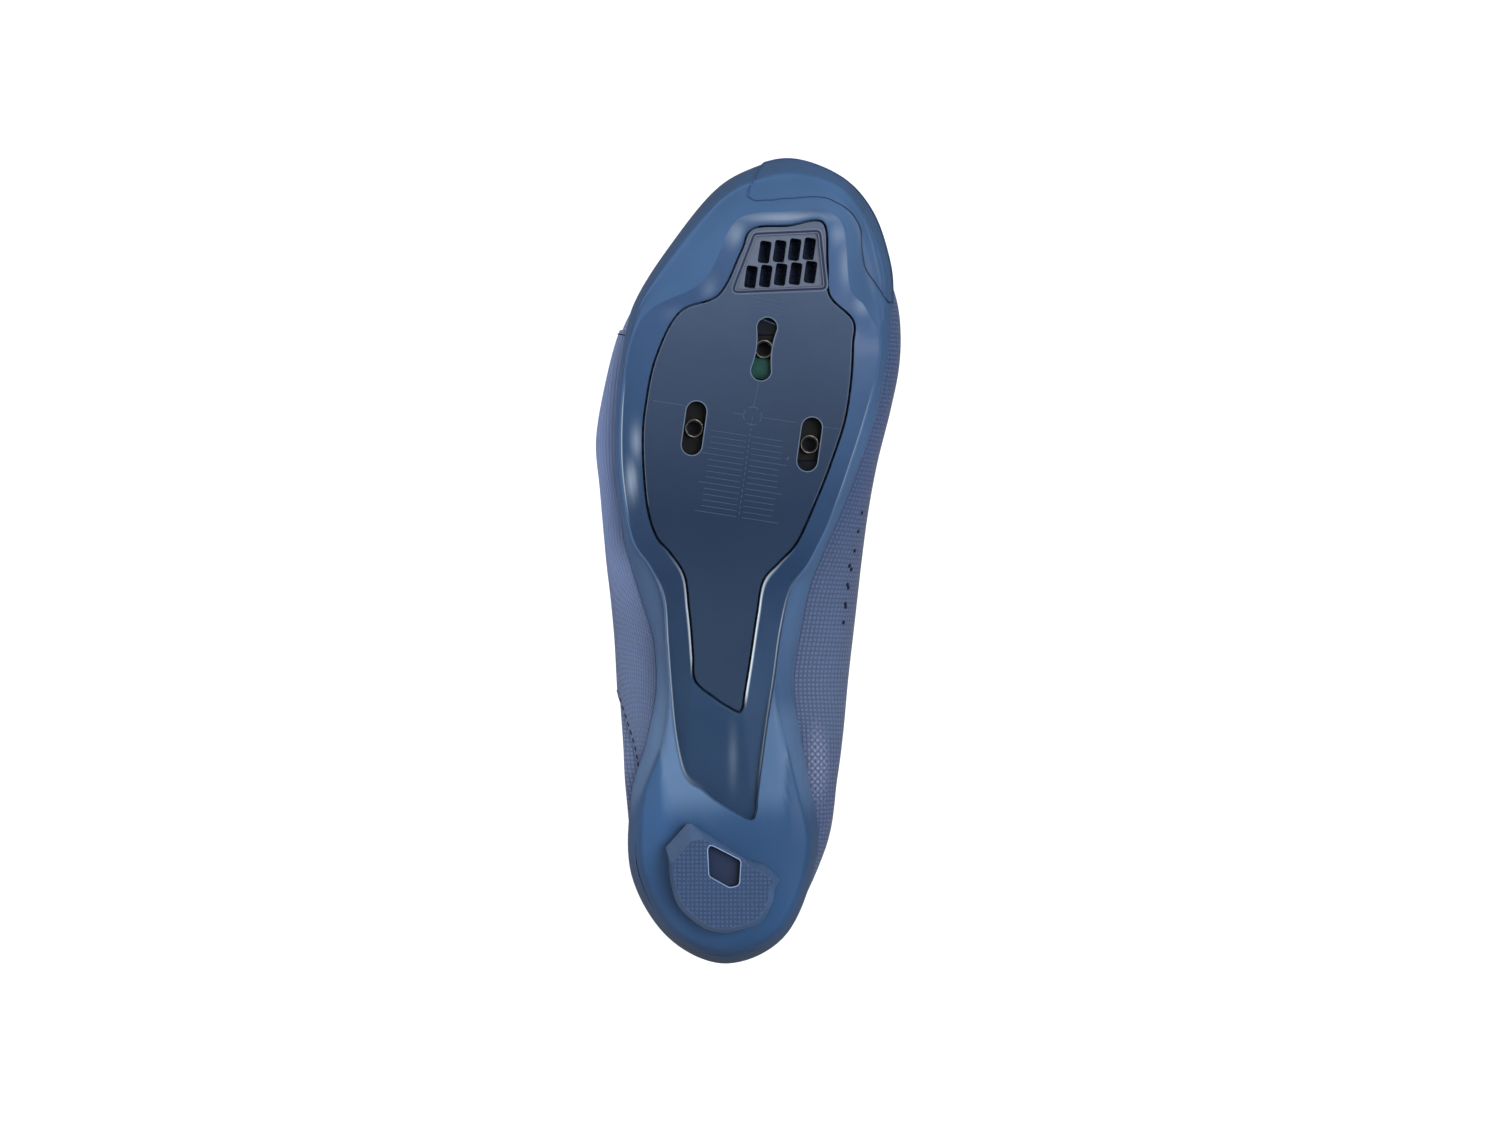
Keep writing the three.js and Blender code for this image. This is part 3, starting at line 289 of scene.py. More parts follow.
def sole_stations(turn):
    """The nine stations of the outsole's skin at a turn, from the groove to the top of its side."""
    sunk = np.clip(ring_value(RING[:, SUNK], turn), 0, 1)
    near = beside("plate", turn, GROOVE * 0.6)
    band = plan_point("band", turn)
    crease = beside("band", turn, CHANNEL_STEP)
    edge = plan_point("edge", turn)
    rim = plan_point("rim", turn)
    top = rim_top(turn)
    level = BAND_DROP * (1 - sunk)

    def climb(plan, part):
        low = tread(plan[..., 0]) + 0.26 * RIM_HEIGHT
        return raised_to(plan, low + (top - low) * part)

    return np.stack([
        over_tread(near, 0),
        over_tread(band, level + CHANNEL_DEPTH * sunk),
        over_tread(crease, level),
        over_tread(mix(crease, edge, 0.5), level + 0.03 * RIM_HEIGHT),
        over_tread(mix(crease, edge, 0.85), level * 0.8 + 0.13 * RIM_HEIGHT),
        climb(edge, 0),
        climb(mix(edge, rim, 0.6), 0.4),
        climb(rim, 0.85),
        raised_to(rim, top),
    ])


def sole_point(turn, across):
    """A point of the outsole's skin: across is 0 at the groove, 2 at the crease and 8 at the rim."""
    stations = sole_stations(turn)
    flat = np.clip(across, 0, 2)
    low = np.minimum(np.floor(flat).astype(int), 1)
    part = (flat - low)[..., None]
    pick = np.arange(len(turn))
    straight = stations[low, pick] * (1 - part) + stations[low + 1, pick] * part
    rest = np.clip(across - 2, 0, 6)
    start = np.minimum(np.floor(rest).astype(int), 5)
    u = (rest - start)[..., None]
    a, b, c, d = (stations[np.clip(start + 2 + k, 2, 8), pick] for k in (-1, 0, 1, 2))
    return np.where((across < 2)[..., None], straight, bend(a, b, c, d, u))


def folded(turn):
    """A turn within one round, and the upper's row that it lies in."""
    turn = np.asarray(turn, float) % RING_ROWS
    return turn, np.minimum(turn, RING_ROWS - turn)


def skin_point(turn, up):
    """The upper's skin: up is -1 at the rim, 0 at its widest line and 1 at its top."""
    turn, at = folded(turn)
    seat = beside("rim", turn, -(RIM_THICKNESS + CLEARANCE))
    wide = plan_point("wide", turn)
    top = row_value(UPPER[:, :3], np.minimum(at, TOE_ROW - 1)) * (LENGTH, BALL_WIDTH, INSTEP_HEIGHT)
    low, full = (ring_value(UPPER_RING[:, k], turn) for k in (0, 1))
    low = low * INSTEP_HEIGHT
    u = np.clip(1 + up, 0, 1)
    start = rim_top(turn) + 2 * CLEARANCE
    out = (0.4 * u + 0.6 * np.sin(u * math.pi / 2))[..., None]
    rise = (0.55 * u + 0.45 * (1 - np.sqrt(1 - u * u))) * (0.3 + 0.7 * u)
    flare = raised_to(seat + (wide - seat) * out, start + (low - start) * rise)
    angle = np.clip(up, 0, 1) * math.pi / 2
    across = (np.maximum(np.cos(angle), 0) ** (2 / full))[..., None]
    height = np.sin(angle) ** (2 / full)
    dome = raised_to(top[..., :2] + (wide - top[..., :2]) * across, low + (top[..., 2] - low) * height)
    return np.where((up < 0)[..., None], flare, dome)


def skin_normal(turn, up):
    """Direction square to the upper's skin, outwards."""
    step = 0.03
    reach = 0.12
    level = np.clip(up, -1 + step, 1 - 2 * step)
    fore = skin_point(turn + reach, level)
    aft = skin_point(turn - reach, level)
    climb = skin_point(turn, level + step) - skin_point(turn, level - step)
    return unit(np.cross(fore - aft, climb))


def skin(turn, up, amount):
    """The skin moved square to itself by an amount, the two sides agreeing at the top."""
    turn = np.asarray(turn, float)
    up = np.asarray(up, float)
    normal = skin_normal(turn, up)
    mirrored = skin_normal(RING_ROWS - turn, up)
    share = ease(0.86, 1.0, up)[..., None] * 0.5
    return skin_point(turn, up) + unit(mix(normal, mirrored, share)) * np.asarray(amount)[..., None]


def cut_at(turn):
    """How far up the skin the collar and the throat leave the upper."""
    turn, at = folded(turn)
    cut = np.minimum(row_value(UPPER[:, 7], at), 1)
    full = ring_value(UPPER_RING[:, 1], turn)
    return np.where(at >= THROAT_ROW, 1, np.arcsin(cut ** (full / 2)) * 2 / math.pi)


# Shoe axes to frame: the cleat face and the heel pad give two points, the face the way down
cleat = mounts["cleat_face"]
pad = mounts["heel_pad_face"]
CLEAT_PLACE = Vector((169.2, 0.6, 0))
PAD_PLACE = Vector((27, -17.5, 0))
down = Vector(cleat["axis"]).normalized()
toward_heel = Vector(pad["pos_m"]) - Vector(cleat["pos_m"])
toward_heel -= toward_heel.dot(down) * down
plan_heel = PAD_PLACE - CLEAT_PLACE
plan_turn = math.atan2(plan_heel.y, plan_heel.x)
side_axis = (-down).cross(toward_heel.normalized())
forward = toward_heel.normalized() * math.cos(plan_turn) - side_axis * math.sin(plan_turn)
inner = (-down).cross(forward)
MM = 0.001
TO_FRAME = Matrix((forward, inner, -down)).transposed().to_4x4()
TO_FRAME.translation = Vector(cleat["pos_m"]) - TO_FRAME.to_3x3() @ CLEAT_PLACE * MM
TO_FRAME = TO_FRAME @ Matrix.Scale(MM, 4)


# Colours

def linear(code):
    """A hex colour made linear."""
    parts = [int(code[i:i + 2], 16) / 255 for i in (1, 3, 5)]
    return tuple(p / 12.92 if p <= 0.04045 else ((p + 0.055) / 1.055) ** 2.4 for p in parts)


def colour(code):
    return (*linear(code), 1)


# The white floor and the sky light the sole strongly, so its paints are this much deeper than seen
PAINT_DEPTH = np.array([0.45, 0.50, 0.54])


def paint(code):
    return np.array(linear(code)) * PAINT_DEPTH


# Near-black painted shade for walls, caps and recesses, such as the insides of slots and vents
RECESS_PAINTED_SHADE = colour("#0a1019")


# Making meshes

MERGE = 0.004


def lay_sheet(mesh, points, closed=False, uv=None, shades=None):
    """A grid laid over points, in rows of columns. Its loops keep their flat place as UVs."""
    points = np.asarray(points)
    uv = None if uv is None else np.asarray(uv)
    if closed:
        points = np.concatenate([points, points[:, :1]], 1)
        shades = None if shades is None else np.concatenate([shades, shades[:, :1]], 1)
    paint_layer = mesh.verts.layers.float_color.get("paint") or mesh.verts.layers.float_color.new("paint")
    rows, columns = points.shape[:2]
    made = bmesh.ops.create_grid(mesh, x_segments=columns - 1, y_segments=rows - 1, size=0.5)
    layer = mesh.loops.layers.uv.get("surface") or mesh.loops.layers.uv.new("surface")
    flat = {}
    for vert in made["verts"]:
        column = round((vert.co.x + 0.5) * (columns - 1))
        row = round((vert.co.y + 0.5) * (rows - 1))
        flat[vert] = (row, column)
    faces = {face for vert in made["verts"] for face in vert.link_faces}
    if uv is not None:
        for face in faces:
            for loop in face.loops:
                loop[layer].uv = uv[flat[loop.vert]] * MM
    # Places without paint of their own take the recesses' painted shade
    for vert, place in flat.items():
        vert.co = points[place]
        vert[paint_layer] = RECESS_PAINTED_SHADE if shades is None else (*shades[place], 1)[:4]
    return faces


def cap(mesh, depth, bands=4.0):
    """Closes the open loops at a depth over the tread, and bends the cap along the tread."""
    edges = [edge for edge in mesh.edges if edge.is_boundary and all(
        abs(vert.co.z - tread(vert.co.x) - depth) < 0.12 for vert in edge.verts)]
    rim = {vert for edge in edges for vert in edge.verts}
    made = bmesh.ops.triangle_fill(mesh, use_beauty=True, edges=edges, normal=(0, 0, 1))
    faces = [item for item in made["geom"] if isinstance(item, bmesh.types.BMFace)]
    low = min(vert.co.x for face in faces for vert in face.verts)
    high = max(vert.co.x for face in faces for vert in face.verts)
    for x in np.arange(low + bands / 2, high, bands):
        near = [face for face in faces if face.is_valid
                and min(v.co.x for v in face.verts) < x < max(v.co.x for v in face.verts)]
        geom = list({item for face in near for item in (face, *face.edges, *face.verts)})
        cut = bmesh.ops.bisect_plane(mesh, geom=geom, plane_co=(x, 0, 0), plane_no=(1, 0, 0))
        known = set(faces)
        faces += [item for item in cut["geom"] if isinstance(item, bmesh.types.BMFace) and item not in known]
    faces = [face for face in faces if face.is_valid]
    paint_layer = mesh.verts.layers.float_color.get("paint")
    # The cap's inner places take the recesses' painted shade
    for vert in {vert for face in faces for vert in face.verts}:
        vert.co.z = tread(vert.co.x) + depth
        if vert not in rim:
            vert[paint_layer] = RECESS_PAINTED_SHADE
    return faces


def rounded(corners, radius, steps=5):
    """A closed outline with each corner turned into an arc."""
    corners = [Vector(corner) for corner in corners]
    line = []
    for i, corner in enumerate(corners):
        back = (corners[i - 1] - corner).normalized()
        ahead = (corners[(i + 1) % len(corners)] - corner).normalized()
        half = back.angle(ahead) / 2
        reach = min(radius / math.tan(half), (corners[i - 1] - corner).length * 0.45)
        start, end = corner + back * reach, corner + ahead * reach
        for k in range(steps + 1):
            u = k / steps
            line.append(start * (1 - u) ** 2 + corner * 2 * u * (1 - u) + end * u * u)
    return np.array([tuple(point) for point in line])


def shifted(line, amount):
    """A closed outline moved away from its middle, square to itself."""
    ahead = unit(np.roll(line, -1, 0) - np.roll(line, 1, 0))
    square = np.stack([ahead[:, 1], -ahead[:, 0]], 1)
    x, y = line.T
    turned = np.sum(x * np.roll(y, -1) - y * np.roll(x, -1))
    return line + square * amount * np.sign(turned)


def wall(mesh, line, profile):
    """A wall along a plan outline: profile gives steps of (shift, depth over the tread)."""
    lay_sheet(mesh, [over_tread(shifted(line, shift), depth) for shift, depth in profile], closed=True)


def new_object(name, mesh, materials):
    """Puts a mesh in the scene as an object."""
    data = bpy.data.meshes.new(name)
    mesh.to_mesh(data)
    mesh.free()
    for material in materials:
        data.materials.append(material)
    made = bpy.data.objects.new(name, data)
    bpy.context.scene.collection.objects.link(made)
    return made


def finish_piece(name, mesh, materials, replaces, sharp=40, merge=True, even=False):
    """Turns a mesh into the frame and makes it a piece of the shoe."""
    if merge:
        bmesh.ops.remove_doubles(mesh, verts=mesh.verts, dist=MERGE)
        bmesh.ops.recalc_face_normals(mesh, faces=mesh.faces)
    plan = mesh.loops.layers.uv.get("plan") or mesh.loops.layers.uv.new("plan")
    for face in mesh.faces:
        for loop in face.loops:
            loop[plan].uv = (loop.vert.co.x * MM, loop.vert.co.y * MM)
    mesh.transform(TO_FRAME)
    piece = new_object(name, mesh, materials)
    piece.data.shade_smooth()
    piece.data.set_sharp_from_angle(angle=math.radians(sharp))
    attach(piece, "root")
    if replaces:
        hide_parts(replaces)
    if even:
        piece.modifiers.new("even", "WEIGHTED_NORMAL").keep_sharp = True
    return piece


# Materials

def add(tree, kind, links=None, **settings):
    """Adds a node with its settings, and gives its sockets values or links."""
    made = tree.nodes.new("ShaderNode" + kind)
    for key, value in settings.items():
        setattr(made, key, value)
    for socket, value in (links or {}).items():
        if isinstance(value, bpy.types.NodeSocket):
            tree.links.new(value, made.inputs[socket])
        else:
            made.inputs[socket].default_value = value
    return made


def begin(name, roughness, **values):
    """A new material with its shader's plain values. Gives its tree and shader."""
    material = bpy.data.materials.new(name)
    material.use_nodes = True
    tree = material.node_tree
    shader = tree.nodes["Principled BSDF"]
    shader.inputs["Roughness"].default_value = roughness
    for key, value in values.items():
        shader.inputs[key.replace("_", " ")].default_value = value
    return material, tree, shader


def mottled(tree, shader, base, dark, light, scale, share):
    """Colour that drifts between two shades over a base, as moulded or woven goods do."""
    where = add(tree, "TexCoord").outputs["Object"]
    cloud = add(tree, "TexNoise", {"Vector": where, "Scale": scale, "Detail": 4.0})
    ramp = add(tree, "MapRange", {"Value": cloud.outputs["Fac"], "From Min": 0.35, "From Max": 0.65})
    blend = add(tree, "Mix", {"Factor": ramp.outputs[0], 6: dark, 7: light}, data_type="RGBA")
    mixed = add(tree, "Mix", {"Factor": share, 6: base, 7: blend.outputs[2]}, data_type="RGBA")
    tree.links.new(mixed.outputs[2], shader.inputs["Base Color"])


def uv_axes(tree, layer):
    """The two places on a UV layer, in millimetres."""
    where = add(tree, "UVMap", uv_map=layer).outputs[0]
    split = add(tree, "SeparateXYZ", {0: where})
    return [add(tree, "Math", {0: split.outputs[k], 1: 1000.0}, operation="MULTIPLY").outputs[0]
            for k in (0, 1)]


def ridges(tree, place, pitch):
    """Rounded ridges at a pitch in millimetres, from 0 to 1."""
    scaled = add(tree, "Math", {0: place, 1: 1 / pitch}, operation="MULTIPLY")
    wave = add(tree, "Math", {0: scaled.outputs[0], 1: 0.5}, operation="PINGPONG")
    return add(tree, "Math", {0: wave.outputs[0], 1: 2.0}, operation="MULTIPLY").outputs[0]


def crossed(tree, places, pitches, operation):
    """Two sets of ridges put together."""
    first, second = (ridges(tree, place, pitch) for place, pitch in zip(places, pitches))
    return add(tree, "Math", {0: first, 1: second}, operation=operation).outputs[0]


def painted(tree, shader, shade):
    """Lays the paint of each place, made darker or lighter by a shade."""
    shades = add(tree, "Attribute", attribute_name="paint", attribute_type="GEOMETRY")
    tinted = add(tree, "VectorMath", {0: shades.outputs["Color"], 1: shade}, operation="MULTIPLY")
    tree.links.new(tinted.outputs[0], shader.inputs["Base Color"])


def moulded_nylon(name, roughness, clouds, grain, height, strength, polish=None, **values):
    """Glass-filled nylon, moulded: painted by place, faintly cloudy, with a fine grain."""
    material, tree, shader = begin(name, roughness, **values)
    where = add(tree, "TexCoord").outputs["Object"]
    cloud = add(tree, "TexNoise", {"Vector": where, **clouds})
    shade = add(tree, "MapRange", {"Value": cloud.outputs["Fac"], "From Min": 0.3, "From Max": 0.7,
                                   "To Min": 0.93, "To Max": 1.06})
    painted(tree, shader, shade.outputs[0])
    fine = add(tree, "TexNoise", {"Vector": where, **grain})
    bumps = add(tree, "Bump", {"Height": fine.outputs["Fac"], "Distance": height, "Strength": strength})
    tree.links.new(bumps.outputs[0], shader.inputs["Normal"])
    if polish:
        rough = add(tree, "MapRange", {"Value": cloud.outputs["Fac"], "To Min": polish[0],
                                       "To Max": polish[1]})
        tree.links.new(rough.outputs[0], shader.inputs["Roughness"])
    return material


def two_shades(base, dark, light):
    """A darker and a lighter shade of a colour."""
    return [(*(min(1, part * c) for c in linear(base)), 1) for part in (dark, light)]


def shade_between(tree, shader, base, dark, light, share):
    """Lays a darker and a lighter shade of a colour, by a share from 0 to 1."""
    low, high = two_shades(base, dark, light)
    blend = add(tree, "Mix", {"Factor": share, 6: low, 7: high}, data_type="RGBA")
    tree.links.new(blend.outputs[2], shader.inputs["Base Color"])


def grip_rubber(name, pitch, height):
    """Polyurethane rubber, moulded in fine squares: matt, each square catching a little light."""
    material, tree, shader = begin(name, 0.62, Specular_IOR_Level=0.3)
    low = crossed(tree, uv_axes(tree, "plan"), (pitch, pitch), "MINIMUM")
    square = add(tree, "MapRange", {"Value": low, "From Min": 0.15, "From Max": 0.55})
    shade = add(tree, "MapRange", {"Value": square.outputs[0], "To Min": 0.72, "To Max": 1.12})
    painted(tree, shader, shade.outputs[0])
    bumps = add(tree, "Bump", {"Height": square.outputs[0], "Distance": height, "Strength": 0.7})
    tree.links.new(bumps.outputs[0], shader.inputs["Normal"])
    return material


# Real dents lie about 1 mm apart. They are drawn coarser, so that they show.
GRID_PITCH = 1.4
GLINT_PITCH = 2.1
GLINT_SHADE = colour("#7d829a")


def embossed_leather():
    """Microfibre leather, embossed in a fine grid: matt violet blue with rows of small dents."""
    material, tree, shader = begin("microfibre_leather_embossed", 0.62, Sheen_Weight=0.1,
                                   Sheen_Roughness=0.5, Specular_IOR_Level=0.35)
    shades = add(tree, "Attribute", attribute_name="paint", attribute_type="GEOMETRY")
    along, up = uv_axes(tree, "surface")
    low = crossed(tree, (along, up), (GRID_PITCH, GRID_PITCH), "MINIMUM")
    dent = add(tree, "MapRange", {"Value": low, "From Min": 0.1, "From Max": 0.6})
    where = add(tree, "TexCoord").outputs["Object"]
    grain = add(tree, "TexNoise", {"Vector": where, "Scale": 1800.0, "Detail": 3.0})
    cloud = add(tree, "TexNoise", {"Vector": where, "Scale": 22.0, "Detail": 4.0})
    # The dents are painted darker than the ridges, as painted shade in them
    shade = add(tree, "MapRange", {"Value": dent.outputs[0], "To Min": 0.68, "To Max": 1.12})
    drift = add(tree, "MapRange", {"Value": cloud.outputs["Fac"], "From Min": 0.3, "From Max": 0.7,
                                   "To Min": 0.94, "To Max": 1.06})
    both = add(tree, "Math", {0: shade.outputs[0], 1: drift.outputs[0]}, operation="MULTIPLY")
    slants = [add(tree, "Math", {0: along, 1: up}, operation=way).outputs[0] for way in ("ADD", "SUBTRACT")]
    diamond = crossed(tree, slants, (GLINT_PITCH, GLINT_PITCH), "MULTIPLY")
    # The reflective patch's diamonds are real; their glint is painted lighter where the paint's alpha is low
    glitter_patch = add(tree, "Math", {0: 1.0, 1: shades.outputs["Alpha"]}, operation="SUBTRACT")
    glint = add(tree, "Math", {0: glitter_patch.outputs[0], 1: diamond}, operation="MULTIPLY")
    tinted = add(tree, "VectorMath", {0: shades.outputs["Color"], 1: both.outputs[0]}, operation="MULTIPLY")
    bright = add(tree, "Mix", {"Factor": glint.outputs[0], 6: tinted.outputs[0], 7: GLINT_SHADE},
                 data_type="RGBA")
    tree.links.new(bright.outputs[2], shader.inputs["Base Color"])
    fine = add(tree, "Math", {0: grain.outputs["Fac"], 1: 0.35, 2: dent.outputs[0]},
               operation="MULTIPLY_ADD")
    bumps = add(tree, "Bump", {"Height": fine.outputs[0], "Distance": 0.00025, "Strength": 0.8})
    tree.links.new(bumps.outputs[0], shader.inputs["Normal"])
    return material


def knitted(name, base, pitch):
    """Polyester knit: soft, with rows of loops and a slight sheen."""
    material, tree, shader = begin(name, 0.85, Sheen_Weight=0.4, Sheen_Roughness=0.4)
    loops = crossed(tree, uv_axes(tree, "surface"), (pitch, pitch * 0.7), "MULTIPLY")
    shade_between(tree, shader, base, 0.55, 1.25, loops)
    bumps = add(tree, "Bump", {"Height": loops, "Distance": 0.0003, "Strength": 0.8})
    tree.links.new(bumps.outputs[0], shader.inputs["Normal"])
    return material


RIB_PITCH = 1.3
YARN_PITCH = 0.9


def webbing(name, base):
    """Polyester webbing, woven in a twill: slanted ribs across a matt band."""
    material, tree, shader = begin(name, 0.78, Sheen_Weight=0.3, Sheen_Roughness=0.4)
    along, up = uv_axes(tree, "surface")
    slant = add(tree, "Math", {0: along, 1: up}, operation="ADD")
    weave = crossed(tree, (slant.outputs[0], up), (RIB_PITCH, YARN_PITCH), "MULTIPLY")
    shade_between(tree, shader, base, 0.6, 1.2, weave)
    bumps = add(tree, "Bump", {"Height": weave, "Distance": 0.00025, "Strength": 0.7})
    tree.links.new(bumps.outputs[0], shader.inputs["Normal"])
    return material


def plain_finish(name, base, roughness, dark=0.85, light=1.1, scale=80.0, **values):
    """A moulded, spun or plated finish whose shade drifts a little, with a fine grain."""
    material, tree, shader = begin(name, roughness, **values)
    mottled(tree, shader, colour(base), *two_shades(base, dark, light), scale, 0.8)
    where = add(tree, "TexCoord").outputs["Object"]
    grain = add(tree, "TexNoise", {"Vector": where, "Scale": 1500.0, "Detail": 2.0})
    bumps = add(tree, "Bump", {"Height": grain.outputs["Fac"], "Distance": 0.00004, "Strength": 0.5})
    tree.links.new(bumps.outputs[0], shader.inputs["Normal"])
    return material


# Paint: where each shade of the moulded and sewn goods lies

def blend_stops(x, stops):
    """Colours along the length, from (share of length, hex) stops."""
    shares = np.array([stop[0] for stop in stops]) * LENGTH
    shades = np.array([paint(stop[1]) for stop in stops])
    return np.stack([np.interp(x, shares, shades[:, k]) for k in range(3)], 1)


SHELL_STOPS = [(0.0, "#2f4a6c"), (0.05, "#3a5b84"), (0.18, "#3d608b"), (0.26, "#42638a"),
               (0.40, "#566d90"), (0.55, "#56739a"), (0.75, "#4d6d97"), (1.0, "#4f7099")]
BAND_STOPS = [(0.18, "#2e4765"), (0.34, "#304a69"), (0.48, "#2a4161"), (0.56, "#344d6f"),
              (0.70, "#3c5a80"), (0.82, "#46618a"), (0.93, "#4c6890")]
# The plate's paint grows lighter and greyer towards the toe, a painted reflection where the plate curves up
PLATE_STOPS = [(0.30, "#34455f"), (0.42, "#31435c"), (0.56, "#2c3c56"), (0.66, "#38475f"),
               (0.76, "#44526c"), (0.83, "#505f78"), (0.92, "#6b7284")]
UPPER_STOPS = [(0.0, "#586789"), (0.18, "#626e92"), (0.33, "#687698"), (0.5, "#5f6d91"),
               (0.6, "#52628b"), (1.0, "#4e6690")]


# Camera, light and floor

WORLD_LIGHT = 0.15
FRAME_WIDTH = 474
CAMERA_FAR = 3000
FRAME_MIDDLE = Vector((127.4, 0, 8))
SENSOR = 36


def set_stage():
    floor_material, tree, shader = begin("backdrop_paper_matt", 0.9)
    mottled(tree, shader, colour("#f6f6f6"), colour("#f2f2f2"), colour("#f9f9f9"), 3.0, 0.5)
    mesh = bmesh.new()
    bmesh.ops.create_grid(mesh, x_segments=1, y_segments=1, size=12)
    floor = new_object("floor", mesh, [floor_material])
    floor.visible_glossy = False
    world = bpy.data.worlds.new("studio")
    bpy.context.scene.world = world
    world.use_nodes = True
    world.node_tree.nodes["Background"].inputs[0].default_value = (1, 1, 1, 1)
    world.node_tree.nodes["Background"].inputs[1].default_value = WORLD_LIGHT


def aim(obj, place, target, top):
    back = (place - target).normalized()
    right = top.cross(back).normalized()
    turned = Matrix((right, back.cross(right), back)).transposed().to_4x4()
    turned.translation = place
    obj.matrix_world = turned


def set_camera():
    camera = bpy.data.objects.new("camera", bpy.data.cameras.new("camera"))
    camera.data.sensor_width = SENSOR
    camera.data.lens = SENSOR * CAMERA_FAR / FRAME_WIDTH
    camera.data.clip_end = 50
    middle = TO_FRAME @ FRAME_MIDDLE
    aim(camera, middle + down * CAMERA_FAR * MM, middle, forward)
    bpy.context.scene.collection.objects.link(camera)
    bpy.context.scene.camera = camera


def set_sun(name, direction, spread, energy, part):
    """Broad even light from the sky side on one part of the scene, its spread in degrees."""
    light = bpy.data.objects.new(name, bpy.data.lights.new(name, "SUN"))
    light.data.energy = energy
    light.data.angle = math.radians(spread)
    light.visible_glossy = False
    light.light_linking.receiver_collection = part
    light.light_linking.blocker_collection = part
    aim(light, direction.normalized() * 3, Vector(), Vector((1, 0, 0)))
    bpy.context.scene.collection.objects.link(light)


def set_light(name, direction, distance, size, power):
    """A soft panel, placed by its direction in the shoe's own axes."""
    light = bpy.data.objects.new(name, bpy.data.lights.new(name, "AREA"))
    light.data.shape = "RECTANGLE"
    light.data.size = size[0]
    light.data.size_y = size[1]
    light.data.energy = power
    middle = TO_FRAME @ FRAME_MIDDLE
    heading = (TO_FRAME.to_3x3() @ Vector(direction)).normalized()
    aim(light, middle + heading * distance, middle, forward if abs(heading.dot(forward)) < 0.9 else down)
    bpy.context.scene.collection.objects.link(light)


# Pieces

TURNS = np.arange(0, RING_ROWS, 0.1)
RECESS_DEPTH = PLATE_THICKNESS + CLEARANCE
POCKET_DEPTH = 5.3
LIP_MARK = 0.002     # how far across the shell the groove's lip counts
SKIN_STEPS = np.array(sorted({*np.round(np.arange(2, 8.01, 0.25), 3), 2.04, 2.1}))
BAND_STEPS = np.array([LIP_MARK, 0.03, 0.1, 0.25, 0.45, 0.65, 0.85, 0.95, 1, 1.06, 1.3, 1.6, 1.85, 1.95])
# Wedges pressed into the heel on both sides of the channel: apex, then a point on each border
WEDGES = [((70.0, -28.1), (55.2, -34.5), (49.0, -26.5)), ((71.6, 11.5), (49.0, 11.0), (55.2, 15.6))]


def wedge_share(plan):
    """1 inside the heel's two wedges and behind them, 0 outside."""
    share = np.zeros(plan.shape[:-1])
    for apex, left, right in WEDGES:
        offset = plan - apex
        borders = []
        for point, sign in ((left, -1), (right, 1)):
            along = np.array(point) - apex
            along = along / np.linalg.norm(along)
            borders.append(sign * (along[0] * offset[..., 1] - along[1] * offset[..., 0]))
        inside = np.minimum(*borders)
        share = np.maximum(share, ease(-0.2, 0.8, inside) * ease(0, 3, -offset[..., 0]))
    return share


def shell_relief(points):
    """Hollows the heel's flanks a little ahead of the two wedges."""
    plan = points[..., :2]
    points[..., 2] += 0.45 * (1 - wedge_share(plan)) * ease(78, 66, plan[..., 0]) * ease(34, 52, plan[..., 0])
    return points


# Painted highlights on the band and the channel, in place of the lamps' and the floor's reflections:
# plan place, reach along and across the shoe, and strength
HIGHLIGHT_PATCHES = [
    (165.5, -35.9, 5, 1.5, 0.7), (153.5, -37.4, 5.5, 1.5, 0.95), (212.5, -12.5, 4.5, 2.6, 0.3),
    (205.5, -21, 2.2, 5, 0.3), (231.5, -4.5, 4, 3.2, 0.55), (236.6, 11, 1.6, 13, 0.85),
    (231, 28, 3, 3, 0.35), (221, 30.4, 6.5, 2.0, 0.45), (208.5, 35.5, 3, 2.4, 0.45),
    (203, 39.6, 2, 1.6, 0.12), (66, -5.4, 8, 1.3, 0.25),
]
# Pale paint for painted highlights on the band, the rims and the plate's edge
PAINTED_HIGHLIGHT = paint("#a9b4c6")
# Near-white painted highlight for the thin edges
EDGE_HIGHLIGHT = paint("#f4f8fc")


# How much painted highlight each place of the band and the channel takes
def patch_highlight_share(plan):
    share = np.zeros(plan.shape[:-1])
    for x, y, along, across, strength in HIGHLIGHT_PATCHES:
        distance = ((plan[..., 0] - x) / along) ** 2 + ((plan[..., 1] - y) / across) ** 2
        share = np.maximum(share, strength * np.exp(-distance))
    return share


def edge_highlight_share(points, across):
    """How much painted highlight lies on the thin edges: the groove's lip at the waist, and the outer crease.
    """
    x, y = points[..., 0], points[..., 1]
    inner_side = y > -12
    lip = ease(134, 112, x) * (0.65 * (y < -17) * ease(91, 97, x) + 0.95 * (y > -3) * ease(82, 87, x))
    crease = ease(54, 66, x) * ease(126, 104, x) * (0.55 + 0.1 * inner_side)
    ball = ease(138, 152, x) * ease(187, 174, x) * (0.6 - 0.3 * inner_side)
    on_lip = (across > LIP_MARK / 2) & (across < 0.05)
    return np.maximum(lip * on_lip, np.maximum(crease, ball) * (np.abs(across - 1.03) < 0.04))


